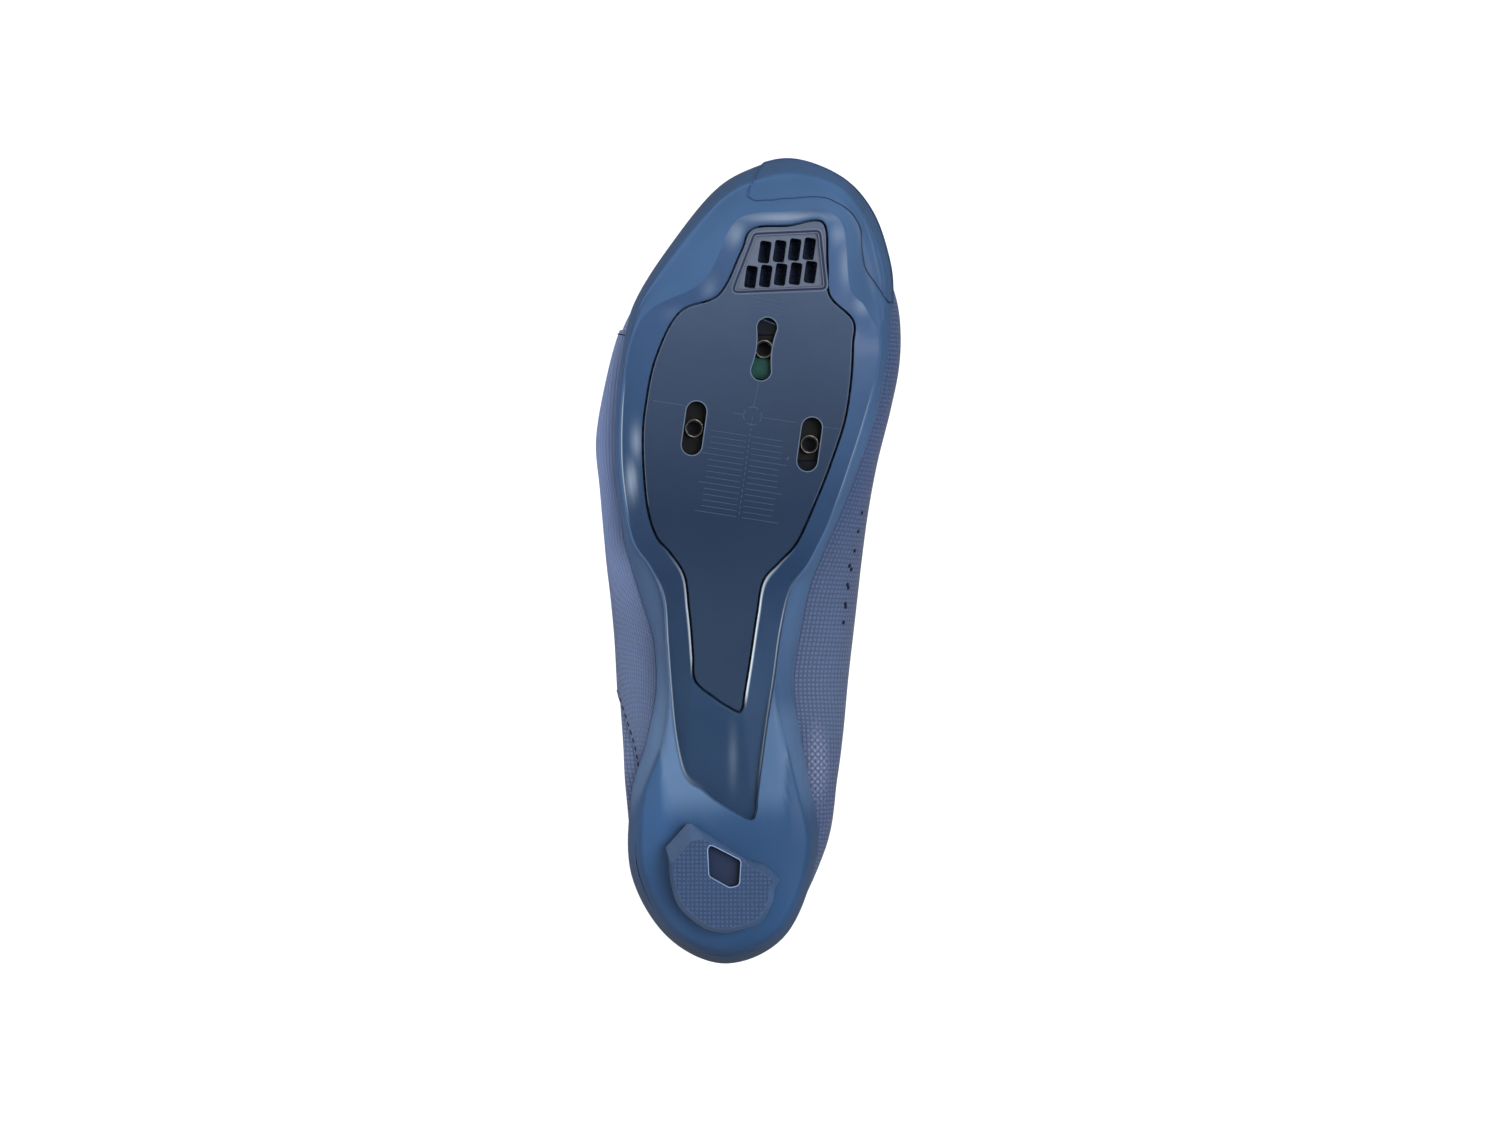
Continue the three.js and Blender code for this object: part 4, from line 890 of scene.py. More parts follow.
def shell_shades(points, across):
    """The outsole's paint: band, channel and shell, each drifting along the length, with painted light and
    shade.
    """
    x = points[..., 0].ravel()
    shell = blend_stops(x, SHELL_STOPS).reshape(points.shape)
    band = blend_stops(x, BAND_STOPS).reshape(points.shape)
    wedge = wedge_share(points[..., :2])[..., None]
    outer_side = ease(-5, -12, points[..., 1])
    heel = ease(95, 75, points[..., 0]) * ease(20, 40, points[..., 0])
    # Painted light and shade on the heel: lighter on its outer side, darker elsewhere
    shell = shell * (1 + heel * (0.32 * ease(-18, -30, points[..., 1]) - 0.14))[..., None]
    # Painted light on the flanks beside the waist and heel, most on the outer side
    near = ease(118 - 30 * (1 - outer_side), 76, points[..., 0]) * ease(44, 56, points[..., 0])
    near = (near * (0.6 + 0.4 * outer_side))[..., None]
    shell = mix(shell, paint("#7690b4"), near * (1 - wedge) * 0.8)
    # Painted shade on the toe's inner flank
    sky_side = ease(170, 200, points[..., 0]) * ease(26, 36, points[..., 1])
    shell = shell * (1 - 0.2 * sky_side)[..., None]
    shade = mix(band, shell, ease(0.98, 1.6, across)[..., None])
    inward = ease(0.05, 0.4, across) + ease(215, 195, points[..., 0])
    patch = (patch_highlight_share(points[..., :2]) * ease(1.5, 1.0, across) * np.minimum(inward, 1))[..., None]
    # Painted highlights: patches on the band and channel, then the thin edges
    return mix(mix(shade, PAINTED_HIGHLIGHT, patch), EDGE_HIGHLIGHT, edge_highlight_share(points, across)[..., None])


def placed(line, turn, middle):
    """A plan outline turned about its middle and moved to its place."""
    c, s = math.cos(turn), math.sin(turn)
    return line @ np.array([[c, s], [-s, c]]) + middle


def stadium(middle, length, width, turn, pinch=0.0, steps=12):
    """A long hole with round ends, narrowed at its waist by a pinch."""
    reach = (length - width) / 2
    ends = []
    for sign in (1, -1):
        angles = np.linspace(-math.pi / 2, math.pi / 2, steps) * sign
        ends.append(np.stack([sign * reach + sign * width / 2 * np.cos(angles),
                              width / 2 * np.sin(angles)], 1))
    side = np.linspace(reach, -reach, 9)[1:-1]
    narrow = width / 2 * (1 - pinch * np.cos(side / reach * math.pi / 2))
    upper = np.stack([side, narrow], 1)
    return placed(np.concatenate([ends[0], upper, ends[1], -upper]), turn, middle)


def bolt_slots():
    lean = math.sin(SLOT_TILT) * BOLT_PITCH / 2
    return [
        ((BOLT_REAR + lean, BOLT_MIDDLE - BOLT_PITCH / 2), SLOT_LENGTH, 0.0),
        ((BOLT_REAR - lean, BOLT_MIDDLE + BOLT_PITCH / 2), SLOT_LENGTH, 0.0),
        ((BOLT_FRONT, BOLT_MIDDLE + 0.04 * BALL_WIDTH), SLOT_LENGTH + 3, 0.28),
    ]


def nut_outline(gap):
    half = BOLT_PITCH / 2 + BOSS_DIAMETER + gap
    rear = BOLT_REAR - BOSS_DIAMETER - 2 - gap
    front = BOLT_FRONT + BOSS_DIAMETER / 2 + 1.5 + gap
    middle = BOLT_REAR + BOSS_DIAMETER + 4 + gap
    narrow = BOSS_DIAMETER + 3 + gap
    return [(rear, BOLT_MIDDLE - half), (rear, BOLT_MIDDLE + half), (middle, BOLT_MIDDLE + half),
            (front, BOLT_MIDDLE + narrow), (front, BOLT_MIDDLE - narrow), (middle, BOLT_MIDDLE - half)]


def vent_holes():
    return [rounded_box((x * LENGTH, y * BALL_WIDTH), VENT_SLOT[1], VENT_SLOT[0], 0.8, SLOT_TILT)
            for x, y in VENT_SLOTS]


def rounded_box(middle, length, width, radius, turn):
    corners = [(length / 2, width / 2), (-length / 2, width / 2), (-length / 2, -width / 2),
               (length / 2, -width / 2)]
    return placed(rounded(corners, radius, 3), turn, middle)


def make_outsole(material):
    """The shell: groove lip, band, channel, skin, rim and footbed in one closed mesh."""
    mesh = bmesh.new()
    lip = [(0.30, RECESS_DEPTH), (0.30, 0.35), (0.36, 0.12)]
    rows = [over_tread(beside("plate", TURNS, shift), depth) for shift, depth in lip]
    across = [0, 0, LIP_MARK]
    for step in [*BAND_STEPS, *SKIN_STEPS]:
        rows.append(shell_relief(sole_point(TURNS, np.full(len(TURNS), float(step)))))
        across.append(step)
    top = rim_top(TURNS)
    for shift, rise in [(-0.12, 0.22), (-0.5, 0.34), (-RIM_THICKNESS + 0.4, 0.3), (-RIM_THICKNESS, 0.05)]:
        rows.append(raised_to(beside("rim", TURNS, shift), top + rise))
        across.append(8)
    rows.append(over_tread(beside("rim", TURNS, -RIM_THICKNESS), SOLE_THICKNESS))
    across.append(8)
    rows = np.array(rows)
    levels = np.repeat(np.array(across, float)[:, None], len(TURNS), 1)
    lay_sheet(mesh, rows, closed=True, shades=shell_shades(rows, levels))
    for hole in vent_holes():
        wall(mesh, hole, [(0, RECESS_DEPTH), (0, SOLE_THICKNESS)])
    wall(mesh, rounded(nut_outline(CLEARANCE), 1.0, 2), [(0, RECESS_DEPTH), (0, POCKET_DEPTH)])
    bmesh.ops.remove_doubles(mesh, verts=mesh.verts, dist=MERGE)
    cap(mesh, RECESS_DEPTH)
    cap(mesh, POCKET_DEPTH)
    cap(mesh, SOLE_THICKNESS)
    return finish_piece("outsole_shell", mesh, [material], "outsole", sharp=50, even=True)


RIM_HIGHLIGHT_SHARE = 0.42
VENT_RIM_HIGHLIGHT = paint("#a5a1ae")
VENT_FLOOR = "#74798a"
VENT_GROOVE_SHADOW = paint("#2f3a57")
EDGE_GLEAM_FROM = 145     # the plate's own edge gleams from here to the toe


def make_sole_plate(material):
    """The satin plate: rounded edge, three bolt slots, and the sunk vent panel in its frame."""
    mesh = bmesh.new()
    edge = [(-GROOVE / 2 - 0.35, 0), (-GROOVE / 2 - 0.1, 0.07), (-GROOVE / 2, 0.3),
            (-GROOVE / 2, PLATE_THICKNESS)]
    rings = [over_tread(beside("plate", TURNS, shift), depth) for shift, depth in edge]
    lay_sheet(mesh, rings, closed=True)
    for middle, length, pinch in bolt_slots():
        hole = stadium(middle, length, SLOT_WIDTH, SLOT_TILT, pinch)
        wall(mesh, hole, [(0.42, 0), (0.3, -0.08), (0.1, -0.08), (0, 0.12), (0, PLATE_THICKNESS)])
    vent = rounded([(x * LENGTH, y * BALL_WIDTH) for x, y in VENT_OUTLINE], 2.2)
    wall(mesh, vent, [(0.3, 0), (0.1, -0.03), (-0.04, -0.27), (-0.2, -0.28), (-0.3, -0.2),
                      (-0.96, -0.18), (-1.06, -0.27), (-1.26, -0.27), (-1.4, 0.3), (-1.5, VENT_DEPTH)])
    for hole in vent_holes():
        wall(mesh, hole, [(0.28, VENT_DEPTH), (0.08, VENT_DEPTH + 0.06), (0, VENT_DEPTH + 0.25),
                          (0, PLATE_THICKNESS)])
    bmesh.ops.remove_doubles(mesh, verts=mesh.verts, dist=MERGE)
    cap(mesh, 0)
    cap(mesh, VENT_DEPTH)
    cap(mesh, PLATE_THICKNESS)
    layer = mesh.verts.layers.float_color.get("paint")
    verts = list(mesh.verts)
    x = np.array([vert.co.x for vert in verts])
    # Painted light and shade: raised rims and the plate's edge towards the toe take painted highlights, the
    # groove in the vent frame a painted shadow, and the deep walls the recesses' painted shade
    for vert, shade in zip(verts, blend_stops(x, PLATE_STOPS)):
        depth = vert.co.z - tread(vert.co.x)
        if -0.23 < depth < -0.15:
            shade = VENT_GROOVE_SHADOW
        elif depth < -0.02:
            rim_highlight_paint = VENT_RIM_HIGHLIGHT if vert.co.x > 0.8 * LENGTH and abs(depth) > 0.15 else PAINTED_HIGHLIGHT
            shade = mix(shade, rim_highlight_paint, RIM_HIGHLIGHT_SHARE)
        elif 0.04 < depth < 0.1 and vert.co.x > EDGE_GLEAM_FROM:
            shade = mix(shade, PAINTED_HIGHLIGHT, 0.5 if vert.co.y < 0 else 0.25)
        elif depth > VENT_DEPTH + 0.2:
            shade = RECESS_PAINTED_SHADE[:3]
        elif depth > VENT_DEPTH - 0.02:
            shade = paint(VENT_FLOOR)
        vert[layer] = (*shade, 1)
    return finish_piece("plate_face", mesh, [material], "sole_plate", sharp=35, even=True)


def rib(mesh, start, end, width=0.22, height=0.07):
    """A thin raised line on the plate between two plan points."""
    start, end = Vector(start), Vector(end)
    length = (end - start).length
    made = bmesh.ops.create_cube(mesh, size=1)["verts"]
    middle = (start + end) / 2
    slope = math.atan2(end.y - start.y, end.x - start.x)
    rise = math.atan2(float(tread(end.x) - tread(start.x)), length)
    place = (Matrix.Translation((middle.x, middle.y, float(tread(middle.x)) - height / 2 + 0.02))
             @ Matrix.Rotation(slope, 4, "Z") @ Matrix.Rotation(-rise, 4, "Y")
             @ Matrix.Diagonal((length, width, height, 1)))
    bmesh.ops.transform(mesh, matrix=place, verts=made)


MARK_CENTRE = (173.6, 0.82)
MARK_TAIL = (142.1, -3.5)
MARK_SLOPE = -0.155
MARK_RADIUS = 2.84
MARK_STEPS = 28
CENTRE_DASHES = 18
# Both ends of each cross line, as places beside the target: below 0 lies the outer side
CROSS_LINES = [(-21.5, -31.3), (-3.4, -6), (3.4, 14.0), (22, 27.0)]
RULER_START = 167.2
RULER_TICKS = 15
TICK_PITCH = 1.82
SLANT_START = 211.4
SLANT_TICKS = 6
SLANT_PITCH = 1.35
DIGITS = [("5", (159.8, 11.2)), ("10", (139.6, 8.0))]
DIGIT_SIZE = 2.7


def make_marks(material):
    """Alignment marks: a centre line with its target, cross lines, a ruler and slanted ticks."""
    mesh = bmesh.new()

    def cross_line(x, y, near, far):
        rib(mesh, (x + MARK_SLOPE * near, y + near), (x + MARK_SLOPE * far, y + far), 0.16, 0.05)

    rib(mesh, (185.0, 2.84), (176.6, 1.2))
    for k in range(CENTRE_DASHES):
        rib(mesh, *(Vector(MARK_CENTRE).lerp(Vector(MARK_TAIL), (k + part) / CENTRE_DASHES)
                    for part in (0.2, 0.75)))
    for k in range(MARK_STEPS):
        if k % 7 in (3, 4):
            continue
        spots = [(MARK_CENTRE[0] + MARK_RADIUS * math.cos(a), MARK_CENTRE[1] + MARK_RADIUS * math.sin(a))
                 for a in (k * math.tau / MARK_STEPS, (k + 1) * math.tau / MARK_STEPS)]
        rib(mesh, *spots)
    for near, far in CROSS_LINES:
        cross_line(*MARK_CENTRE, near, far)
    lean = (MARK_TAIL[1] - MARK_CENTRE[1]) / (MARK_TAIL[0] - MARK_CENTRE[0])
    for k in range(RULER_TICKS):
        x = RULER_START - k * TICK_PITCH
        y = MARK_CENTRE[1] + (x - MARK_CENTRE[0]) * lean
        reach = 12.5 if k % 5 == 4 else 10.5
        for near, far in ((-0.9, -reach - 1.5), (0.9, reach)):
            cross_line(x, y, near, far)
    for k in range(SLANT_TICKS):
        x = SLANT_START - k * SLANT_PITCH
        rib(mesh, (x, 0.6 + 0.4 * k), (x - 2.2, 11.5 - 0.7 * k), 0.18, 0.05)
    for label, place in DIGITS:
        letters = bpy.data.curves.new("digits", "FONT")
        letters.body = label
        letters.size = DIGIT_SIZE
        letters.extrude = 0.035
        flat = bpy.data.objects.new("digits", letters)
        digit_mesh = flat.to_mesh()
        digit_mesh.transform(Matrix.Translation((*place, float(tread(place[0]))))
                             @ Matrix.Rotation(math.pi, 4, "Y") @ Matrix.Rotation(math.pi / 2 + 0.15, 4, "Z"))
        mesh.from_mesh(digit_mesh)
        bpy.data.objects.remove(flat)
    return finish_piece("plate_marks", mesh, [material], None, merge=False)


TOE_GRIP_SLANT = 0.47
TOE_GRIP_TURNS = (16.88, 22.3)
# The toe pad's paint, and a darker copy painted as shade towards its inner edge
TOE_SHADES = [np.array(linear(code)) for code in ("#30476f", "#263b5a")]


def make_toe_grip(material):
    """The soft corner at the big toe: a skin over the shell, inside its outline, edges turned in."""
    outline = np.array(TOE_GRIP_OUTLINE) * (LENGTH, BALL_WIDTH)
    first, last = TOE_GRIP_TURNS
    turns = np.linspace(first, last, 110)
    levels = np.linspace(1.9, 7.3, 120)
    skin_grid = np.stack([sole_point(turns, np.full(len(turns), level)) for level in levels])
    inside = inside_outline(skin_grid[..., :2], outline)
    start = np.where(inside.any(0), levels[np.argmax(inside, 0)], np.nan)
    keep = ~np.isnan(start) & (start < 6.6)
    turns = turns[keep]
    start = np.convolve(np.pad(start[keep], 2, "edge"), np.ones(5) / 5, "valid")
    parts = np.array([0, 0, 0.015, 0.04, *np.linspace(0.1, 0.97, 22), 1, 1])
    heights = np.array([-0.5, 0.15, 0.34, 0.4, *[0.4] * 22, 0.25, -0.5]) * PAD_PROUD / 0.4
    side = np.ones(len(turns))
    side[[0, -1]] = 0
    side[[1, -2]] = 0.3
    rows = []
    for part, height in zip(parts, heights):
        across = start + (7.35 - start) * part
        slanted = turns + TOE_GRIP_SLANT * part * ease(first + 1.6, first, turns)
        at = sole_point(slanted, across)
        fore = sole_point(slanted + 0.05, across) - sole_point(slanted - 0.05, across)
        out = sole_point(slanted, across + 0.05) - sole_point(slanted, across - 0.05)
        proud = np.minimum(height, side * height + (side - 1) * 0.3)
        rows.append(at + unit(np.cross(out, fore)) * proud[:, None])
    rows = np.array(rows)
    mesh = bmesh.new()
    lay_sheet(mesh, rows, shades=mix(*TOE_SHADES, ease(26, 36, rows[..., 1])[..., None]))
    return finish_piece("toe_grip_pad", mesh, [material], "toe_grip", sharp=60)


def inside_outline(points, outline):
    """Which plan points lie inside a closed outline."""
    x, y = points[..., 0], points[..., 1]
    inside = np.zeros(x.shape, bool)
    for (ax, ay), (bx, by) in zip(outline, np.roll(outline, -1, 0)):
        crosses = (ay > y) != (by > y)
        inside ^= crosses & (x < (bx - ax) * (y - ay) / (by - ay + 1e-12) + ax)
    return inside


def bevelled_copy(name, node, material, width, segments=2, angle=30):
    """A moulded or stamped piece of the frame with its edges rounded."""
    mesh = bmesh.new()
    mesh.from_mesh(frame["nodes"][node].data)
    mesh.transform(TO_FRAME.inverted())
    bmesh.ops.remove_doubles(mesh, verts=mesh.verts, dist=0.003)
    bmesh.ops.dissolve_limit(mesh, angle_limit=math.radians(1.5), verts=mesh.verts, edges=mesh.edges)
    edges = [edge for edge in mesh.edges if len(edge.link_faces) == 2
             and edge.calc_face_angle(0) > math.radians(angle)]
    bmesh.ops.bevel(mesh, geom=edges, offset=width, segments=segments, profile=0.5, affect="EDGES",
                    material=-1, clamp_overlap=True)
    bmesh.ops.triangulate(mesh, faces=[face for face in mesh.faces if len(face.verts) > 4])
    return finish_piece(name, mesh, [material], node, sharp=45, even=True)


def outline_curve(shares, steps=5):
    """A closed plan outline, straight along the pad's nose and curved round its rear."""
    corners = np.array(shares) * (LENGTH, BALL_WIDTH)
    count = len(corners)
    place = np.arange(count * steps) / steps
    curved = ring_value(corners, place)
    start = np.floor(place).astype(int)
    part = (place - start)[:, None]
    straight = corners[start] * (1 - part) + corners[(start + 1) % count] * part
    nose = (place < HEEL_PAD_NOSE[0]) | (place > HEEL_PAD_NOSE[1])
    return np.where(nose[:, None], straight, curved)


HEEL_PAD_NOSE = (6, 17)
HEEL_PAD_BASE = [
    (0.176, -0.207), (0.176, -0.190), (0.137, -0.030), (0.130, 0.000), (0.127, 0.040), (0.117, 0.075),
    (0.108, 0.098), (0.094, 0.080), (0.080, 0.075), (0.058, 0.044), (0.049, 0.006), (0.043, -0.053),
    (0.041, -0.090), (0.046, -0.146), (0.060, -0.200), (0.078, -0.240), (0.106, -0.261),
    (0.128, -0.266), (0.147, -0.276),
]
HEEL_PAD_FACE = [
    (0.156, -0.193), (0.1583, -0.150), (0.1335, -0.022), (0.124, -0.002), (0.118, 0.030), (0.112, 0.060),
    (0.107, 0.079), (0.095, 0.066), (0.082, 0.061), (0.062, 0.034), (0.054, 0.000), (0.048, -0.053),
    (0.046, -0.088), (0.051, -0.138), (0.064, -0.188), (0.080, -0.224), (0.104, -0.246),
    (0.122, -0.255), (0.127, -0.258),
]
RHOMBUS = [(0.152, -0.138), (0.131, -0.031), (0.101, -0.036), (0.098, -0.066), (0.112, -0.133)]
RHOMBUS_DEPTH = 2.5
PAD_SHADE = linear("#304362")


def make_heel_pad(textured, plain, floor, painted_rim_highlight):
    """A lug with a chamfered nose, squares on its flat face and a rhombic hollow with a raised rim."""
    mesh = bmesh.new()
    base, face = outline_curve(HEEL_PAD_BASE), outline_curve(HEEL_PAD_FACE)
    high = HEEL_LIFT - CLEARANCE
    shoulder = high * 0.6

    def level(plan, height):
        return raised_to(plan, np.full(len(plan), float(height)))

    rows = [level(shifted(face, -0.2), 0), level(shifted(face, -0.08), 0.02), level(face, 0.12)]
    for part in (0.04, 0.3, 0.6, 0.94):
        rows.append(level(face + (base - face) * part, 0.12 + (shoulder - 0.12) * part))
    rows += [level(base, shoulder + 0.15), level(base, high)]
    rows = np.array(rows)
    flanks = lay_sheet(mesh, rows, closed=True, shades=np.full(rows.shape, PAD_SHADE))
    rim = rounded(np.array(RHOMBUS) * (LENGTH, BALL_WIDTH), 1.4)
    steps = [(0.32, 0), (0.24, -0.08), (0.08, -0.08), (0, 0.06)]
    edge = np.array([level(shifted(rim, shift), height) for shift, height in steps])
    lip = lay_sheet(mesh, edge, closed=True, shades=np.full(edge.shape, PAD_SHADE))
    hollow = lay_sheet(mesh, [level(rim, 0.06), level(shifted(rim, -0.4), RHOMBUS_DEPTH)], closed=True)
    # The rim round the rhombus takes a pale painted highlight, and the hollow's floor a dark painted shade
    for faces, index in ((flanks, 1), (hollow, 2), (lip, 3)):
        for item in faces:
            item.material_index = index
    bmesh.ops.remove_doubles(mesh, verts=mesh.verts, dist=MERGE)
    for height, index in ((0, 0), (RHOMBUS_DEPTH, 2), (high, 1)):
        edges = [edge for edge in mesh.edges if edge.is_boundary
                 and all(abs(vert.co.z - height) < 0.01 for vert in edge.verts)]
        made = bmesh.ops.triangle_fill(mesh, use_beauty=True, edges=edges, normal=(0, 0, 1))
        for item in made["geom"]:
            if isinstance(item, bmesh.types.BMFace):
                item.material_index = index
    return finish_piece("heel_pad_lug", mesh, [textured, plain, floor, painted_rim_highlight], "heel_pad",
                        sharp=32, even=True)


def spun(mesh, profile, middle, steps=32):
    """A ring spun from a profile of (radius, height) about an upright axis."""
    verts = [mesh.verts.new((middle[0] + radius, middle[1], middle[2] + height))
             for radius, height in profile]
    edges = [mesh.edges.new(pair) for pair in zip(verts, verts[1:])]
    bmesh.ops.spin(mesh, geom=verts + edges, cent=middle, axis=(0, 0, 1), angle=math.tau, steps=steps,
                   use_merge=True)


COLLAR_HEIGHT = 2.2
THREAD_PITCH = 0.45
THREAD_TURNS = 4


def make_nut_collars(bright, dark):
    """Threaded collars of the three nuts, bright along their rims, with turns of thread inside."""
    mesh = bmesh.new()
    outer = BOSS_DIAMETER / 2 + 0.12
    bore = BOLT_BORE / 2
    from_frame = TO_FRAME.inverted()
    spots = [from_frame @ vert.co for vert in frame["nodes"]["cleat_nut_plate"].data.vertices]
    for (x, y), _, _ in bolt_slots():
        near = [spot.z for spot in spots if math.hypot(spot.x - x, spot.y - y) < BOSS_DIAMETER / 2 + 0.2]
        low = min(near) - 0.06
        profile = [(outer, COLLAR_HEIGHT), (outer, 0.3), (outer - 0.1, 0.08), (outer - 0.25, 0),
                   (outer - 0.42, 0.08), (bore + 0.22, 0.3)]
        for k in range(THREAD_TURNS):
            profile += [(bore, 0.4 + THREAD_PITCH * k), (bore + 0.2, 0.6 + THREAD_PITCH * k)]
        spun(mesh, profile + [(bore, COLLAR_HEIGHT), (outer, COLLAR_HEIGHT)], (x, y, low))
        for face in mesh.faces:
            middle = face.calc_center_median()
            from_axis = math.hypot(middle.x - x, middle.y - y)
            if from_axis < outer + 1:
                face.material_index = 0 if from_axis > outer - 0.5 and middle.z < low + 0.4 else 1
    return finish_piece("nut_collars", mesh, [bright, dark], None, sharp=30)


def make_slot_board(material):
    """The piece of fibre board that shows through the rear of the front slot."""
    mesh = bmesh.new()
    x, y = BOLT_FRONT - 6.2, BOLT_MIDDLE + 3.4
    line = rounded_box((x, y), 6.5, 7.4, 0.8, SLOT_TILT)
    top = PLATE_THICKNESS + 0.32
    wall(mesh, line, [(0, top + 0.22), (0, top + 0.06), (-0.06, top)])
    bmesh.ops.remove_doubles(mesh, verts=mesh.verts, dist=MERGE)
    cap(mesh, top)
    cap(mesh, top + 0.22)
    return finish_piece("slot_board", mesh, [material], None, sharp=50)


# Upper

UPPER_STEP = 0.125
UPPER_TURNS = np.arange(0, RING_ROWS, UPPER_STEP)
FLARE_UPS = np.linspace(-1, 0, 15)
WALL_UPS = np.linspace(0, 1, 44)[1:]


# Row of each crease, its depth in mm, its width in rows, and how far it slants down the side
CREASES = [(13.0, 0.35, 0.16, 0.5), (13.55, 0.25, 0.14, 0.3), (12.45, 0.2, 0.15, 0.6), (7.2, 0.18, 0.2, -0.4)]


def crease_relief(turn, up):
    """Soft creases: where the toes bend, at the ankle, and the fullness beside the collar."""
    at, up = np.broadcast_arrays(folded(turn)[1], np.asarray(up, float))
    relief = np.zeros(at.shape)
    for place, depth, width, slant in CREASES:
        distance = (at - place - slant * (1 - up)) / width
        relief -= depth * np.exp(-distance * distance) * ease(0.35, 0.8, up)
        relief += 0.5 * depth * np.exp(-((np.abs(distance) - 1.8) ** 2)) * ease(0.35, 0.8, up)
    relief += 0.12 * np.sin(at * 2.1 + 1.3 * up) * ease(0.1, 0.5, up) * ease(17, 15, at)
    return relief


def collar_swell(turn, up):
    """Fullness of the padding along the collar."""
    return ease(7.6, 5.6, folded(turn)[1]) * np.exp(-((up - 0.84) / 0.14) ** 2)


# The upper's inside takes a darker copy of its outer paint, as painted shade
INSIDE_SHADE_PAINT = (0.6, 0.6, 0.6, 1)
COLLAR_PADDING = 2.4


def make_upper(leather, lining):
    """The hollow upper: embossed leather outside, padded knit inside, rolled at collar and throat."""
    turn = UPPER_TURNS[None, :]
    cut = cut_at(turn)
    seat = beside("rim", UPPER_TURNS, -(RIM_THICKNESS + CLEARANCE))
    deep = beside("rim", UPPER_TURNS, -(RIM_THICKNESS + CLEARANCE + UPPER_WALL))
    outer = [over_tread(seat, SOLE_THICKNESS + CLEARANCE)]
    inner = [over_tread(deep, SOLE_THICKNESS + CLEARANCE)]
    for up in [*FLARE_UPS, *WALL_UPS]:
        level = np.full(turn.shape, up) if up <= 0 else up * cut
        relief = crease_relief(turn, level)
        soft = collar_swell(turn, up)
        edge = 0.55 * ease(0.985, 1.0, up) * (cut < 1)
        top = skin(turn, level, relief + 0.5 * soft - edge)[0]
        low = skin(turn, level, relief - UPPER_WALL - COLLAR_PADDING * soft + edge)[0]
        if up == -1:
            top = skin_point(turn, level)[0]
            low = raised_to(deep, top[:, 2] + UPPER_WALL)
        outer.append(top)
        inner.append(low)
    outer, inner = np.array(outer), np.array(inner)
    wide = plan_point("wide", np.append(UPPER_TURNS, RING_ROWS))
    girth = np.concatenate([[0], np.cumsum(np.linalg.norm(np.diff(wide, axis=0), axis=1))])
    climb = np.linalg.norm(np.diff(np.concatenate([outer, outer[:, :1]], 1), axis=0), axis=2)
    rise = np.concatenate([np.zeros((1, len(girth))), np.cumsum(climb, 0)])
    uv = np.stack([np.repeat(girth[None], len(rise), 0), rise], -1)
    shades = upper_shades(outer)
    mesh = bmesh.new()
    lay_sheet(mesh, outer, closed=True, uv=uv, shades=shades)
    inner_faces = lay_sheet(mesh, inner, closed=True, uv=uv, shades=shades * INSIDE_SHADE_PAINT)
    for face in inner_faces:
        face.material_index = 1
    lay_sheet(mesh, [outer[0], inner[0]], closed=True)
    reach = int(THROAT_ROW / UPPER_STEP)
    open_columns = np.arange(-reach, reach + 1) % len(UPPER_TURNS)
    middle = (outer[-1] + inner[-1]) / 2
    over_edge = skin(UPPER_TURNS[None, :], cut, np.full((1, len(UPPER_TURNS)), -UPPER_WALL / 2))[0]
    roll = middle + (over_edge - middle) * 0.2
    tip = unit(skin_point(UPPER_TURNS, cut[0]) - skin_point(UPPER_TURNS, cut[0] - 0.03))
    roll = roll + tip * 0.35 * (cut[0] < 1)[:, None]
    rim_uv = uv[-1][open_columns % len(UPPER_TURNS)]
    lay_sheet(mesh, [outer[-1][open_columns], roll[open_columns], inner[-1][open_columns]],
              uv=[rim_uv, rim_uv + (0, 1), rim_uv + (0, 2)],
              shades=np.repeat(shades[-1][open_columns][None], 3, 0))
    return finish_piece("upper_shell", mesh, [leather, lining], "upper", sharp=60)


GLITTER_PLACE = (63.5, 21.5)
GLITTER_REACH = (12, 3.2)


def upper_shades(points):
    """The upper's paint, with painted light on its outer side. Its last value falls where the leather
    glitters, low at the heel's inner side.
    """
    shades = blend_stops(points[..., 0].ravel(), UPPER_STOPS).reshape(points.shape)
    # Painted light: the outer side is painted lighter, most at the forefoot
    outer_side = ease(-18, -40, points[..., 1])[..., None] * 0.7
    shades = mix(shades, paint("#8795bd"), outer_side)
    shades = shades * (1 + 1.1 * outer_side * ease(105, 150, points[..., 0])[..., None])
    # Where the reflective patch takes a painted glint
    distance = np.sum(((points[..., :2] - GLITTER_PLACE) / GLITTER_REACH) ** 2, -1)
    glitter = np.exp(-distance ** 2) * ease(48, 34, points[..., 2])
    return np.concatenate([shades, 1 - glitter[..., None]], -1)


def flap_rows(place, low, high, along, across, edge):
    """Two sheets of a flap, top and bottom, that meet in a rounded edge."""
    sheets = []
    span_a, span_c = along[-1] - along[0], across[-1] - across[0]
    u = (along - along[0])[:, None] * np.ones(len(across))[None]
    v = (across - across[0])[None] * np.ones(len(along))[:, None]
    near = np.minimum(np.minimum(u, span_a - u), np.minimum(v, span_c - v)) / edge
    swell = round_edge(near)
    turn, up = place(u / span_a, v / span_c)
    middle, half = (low + high) / 2, (high - low) / 2
    for sign in (1, -1):
        sheets.append(skin(turn, up, crease_relief(turn, up) * 0.5 + middle + sign * half * swell))
    uv = np.stack([u, v], -1)
    return sheets, uv


def edge_steps(length, edge, count):
    """Steps along a length in millimetres, close together at both ends."""
    near = np.array([0, 0.06, 0.2, 0.45, 0.75, 1.0]) * edge
    inner_steps = np.linspace(edge, length - edge, count)[1:-1]
    return np.concatenate([near, inner_steps, length - near[::-1]])


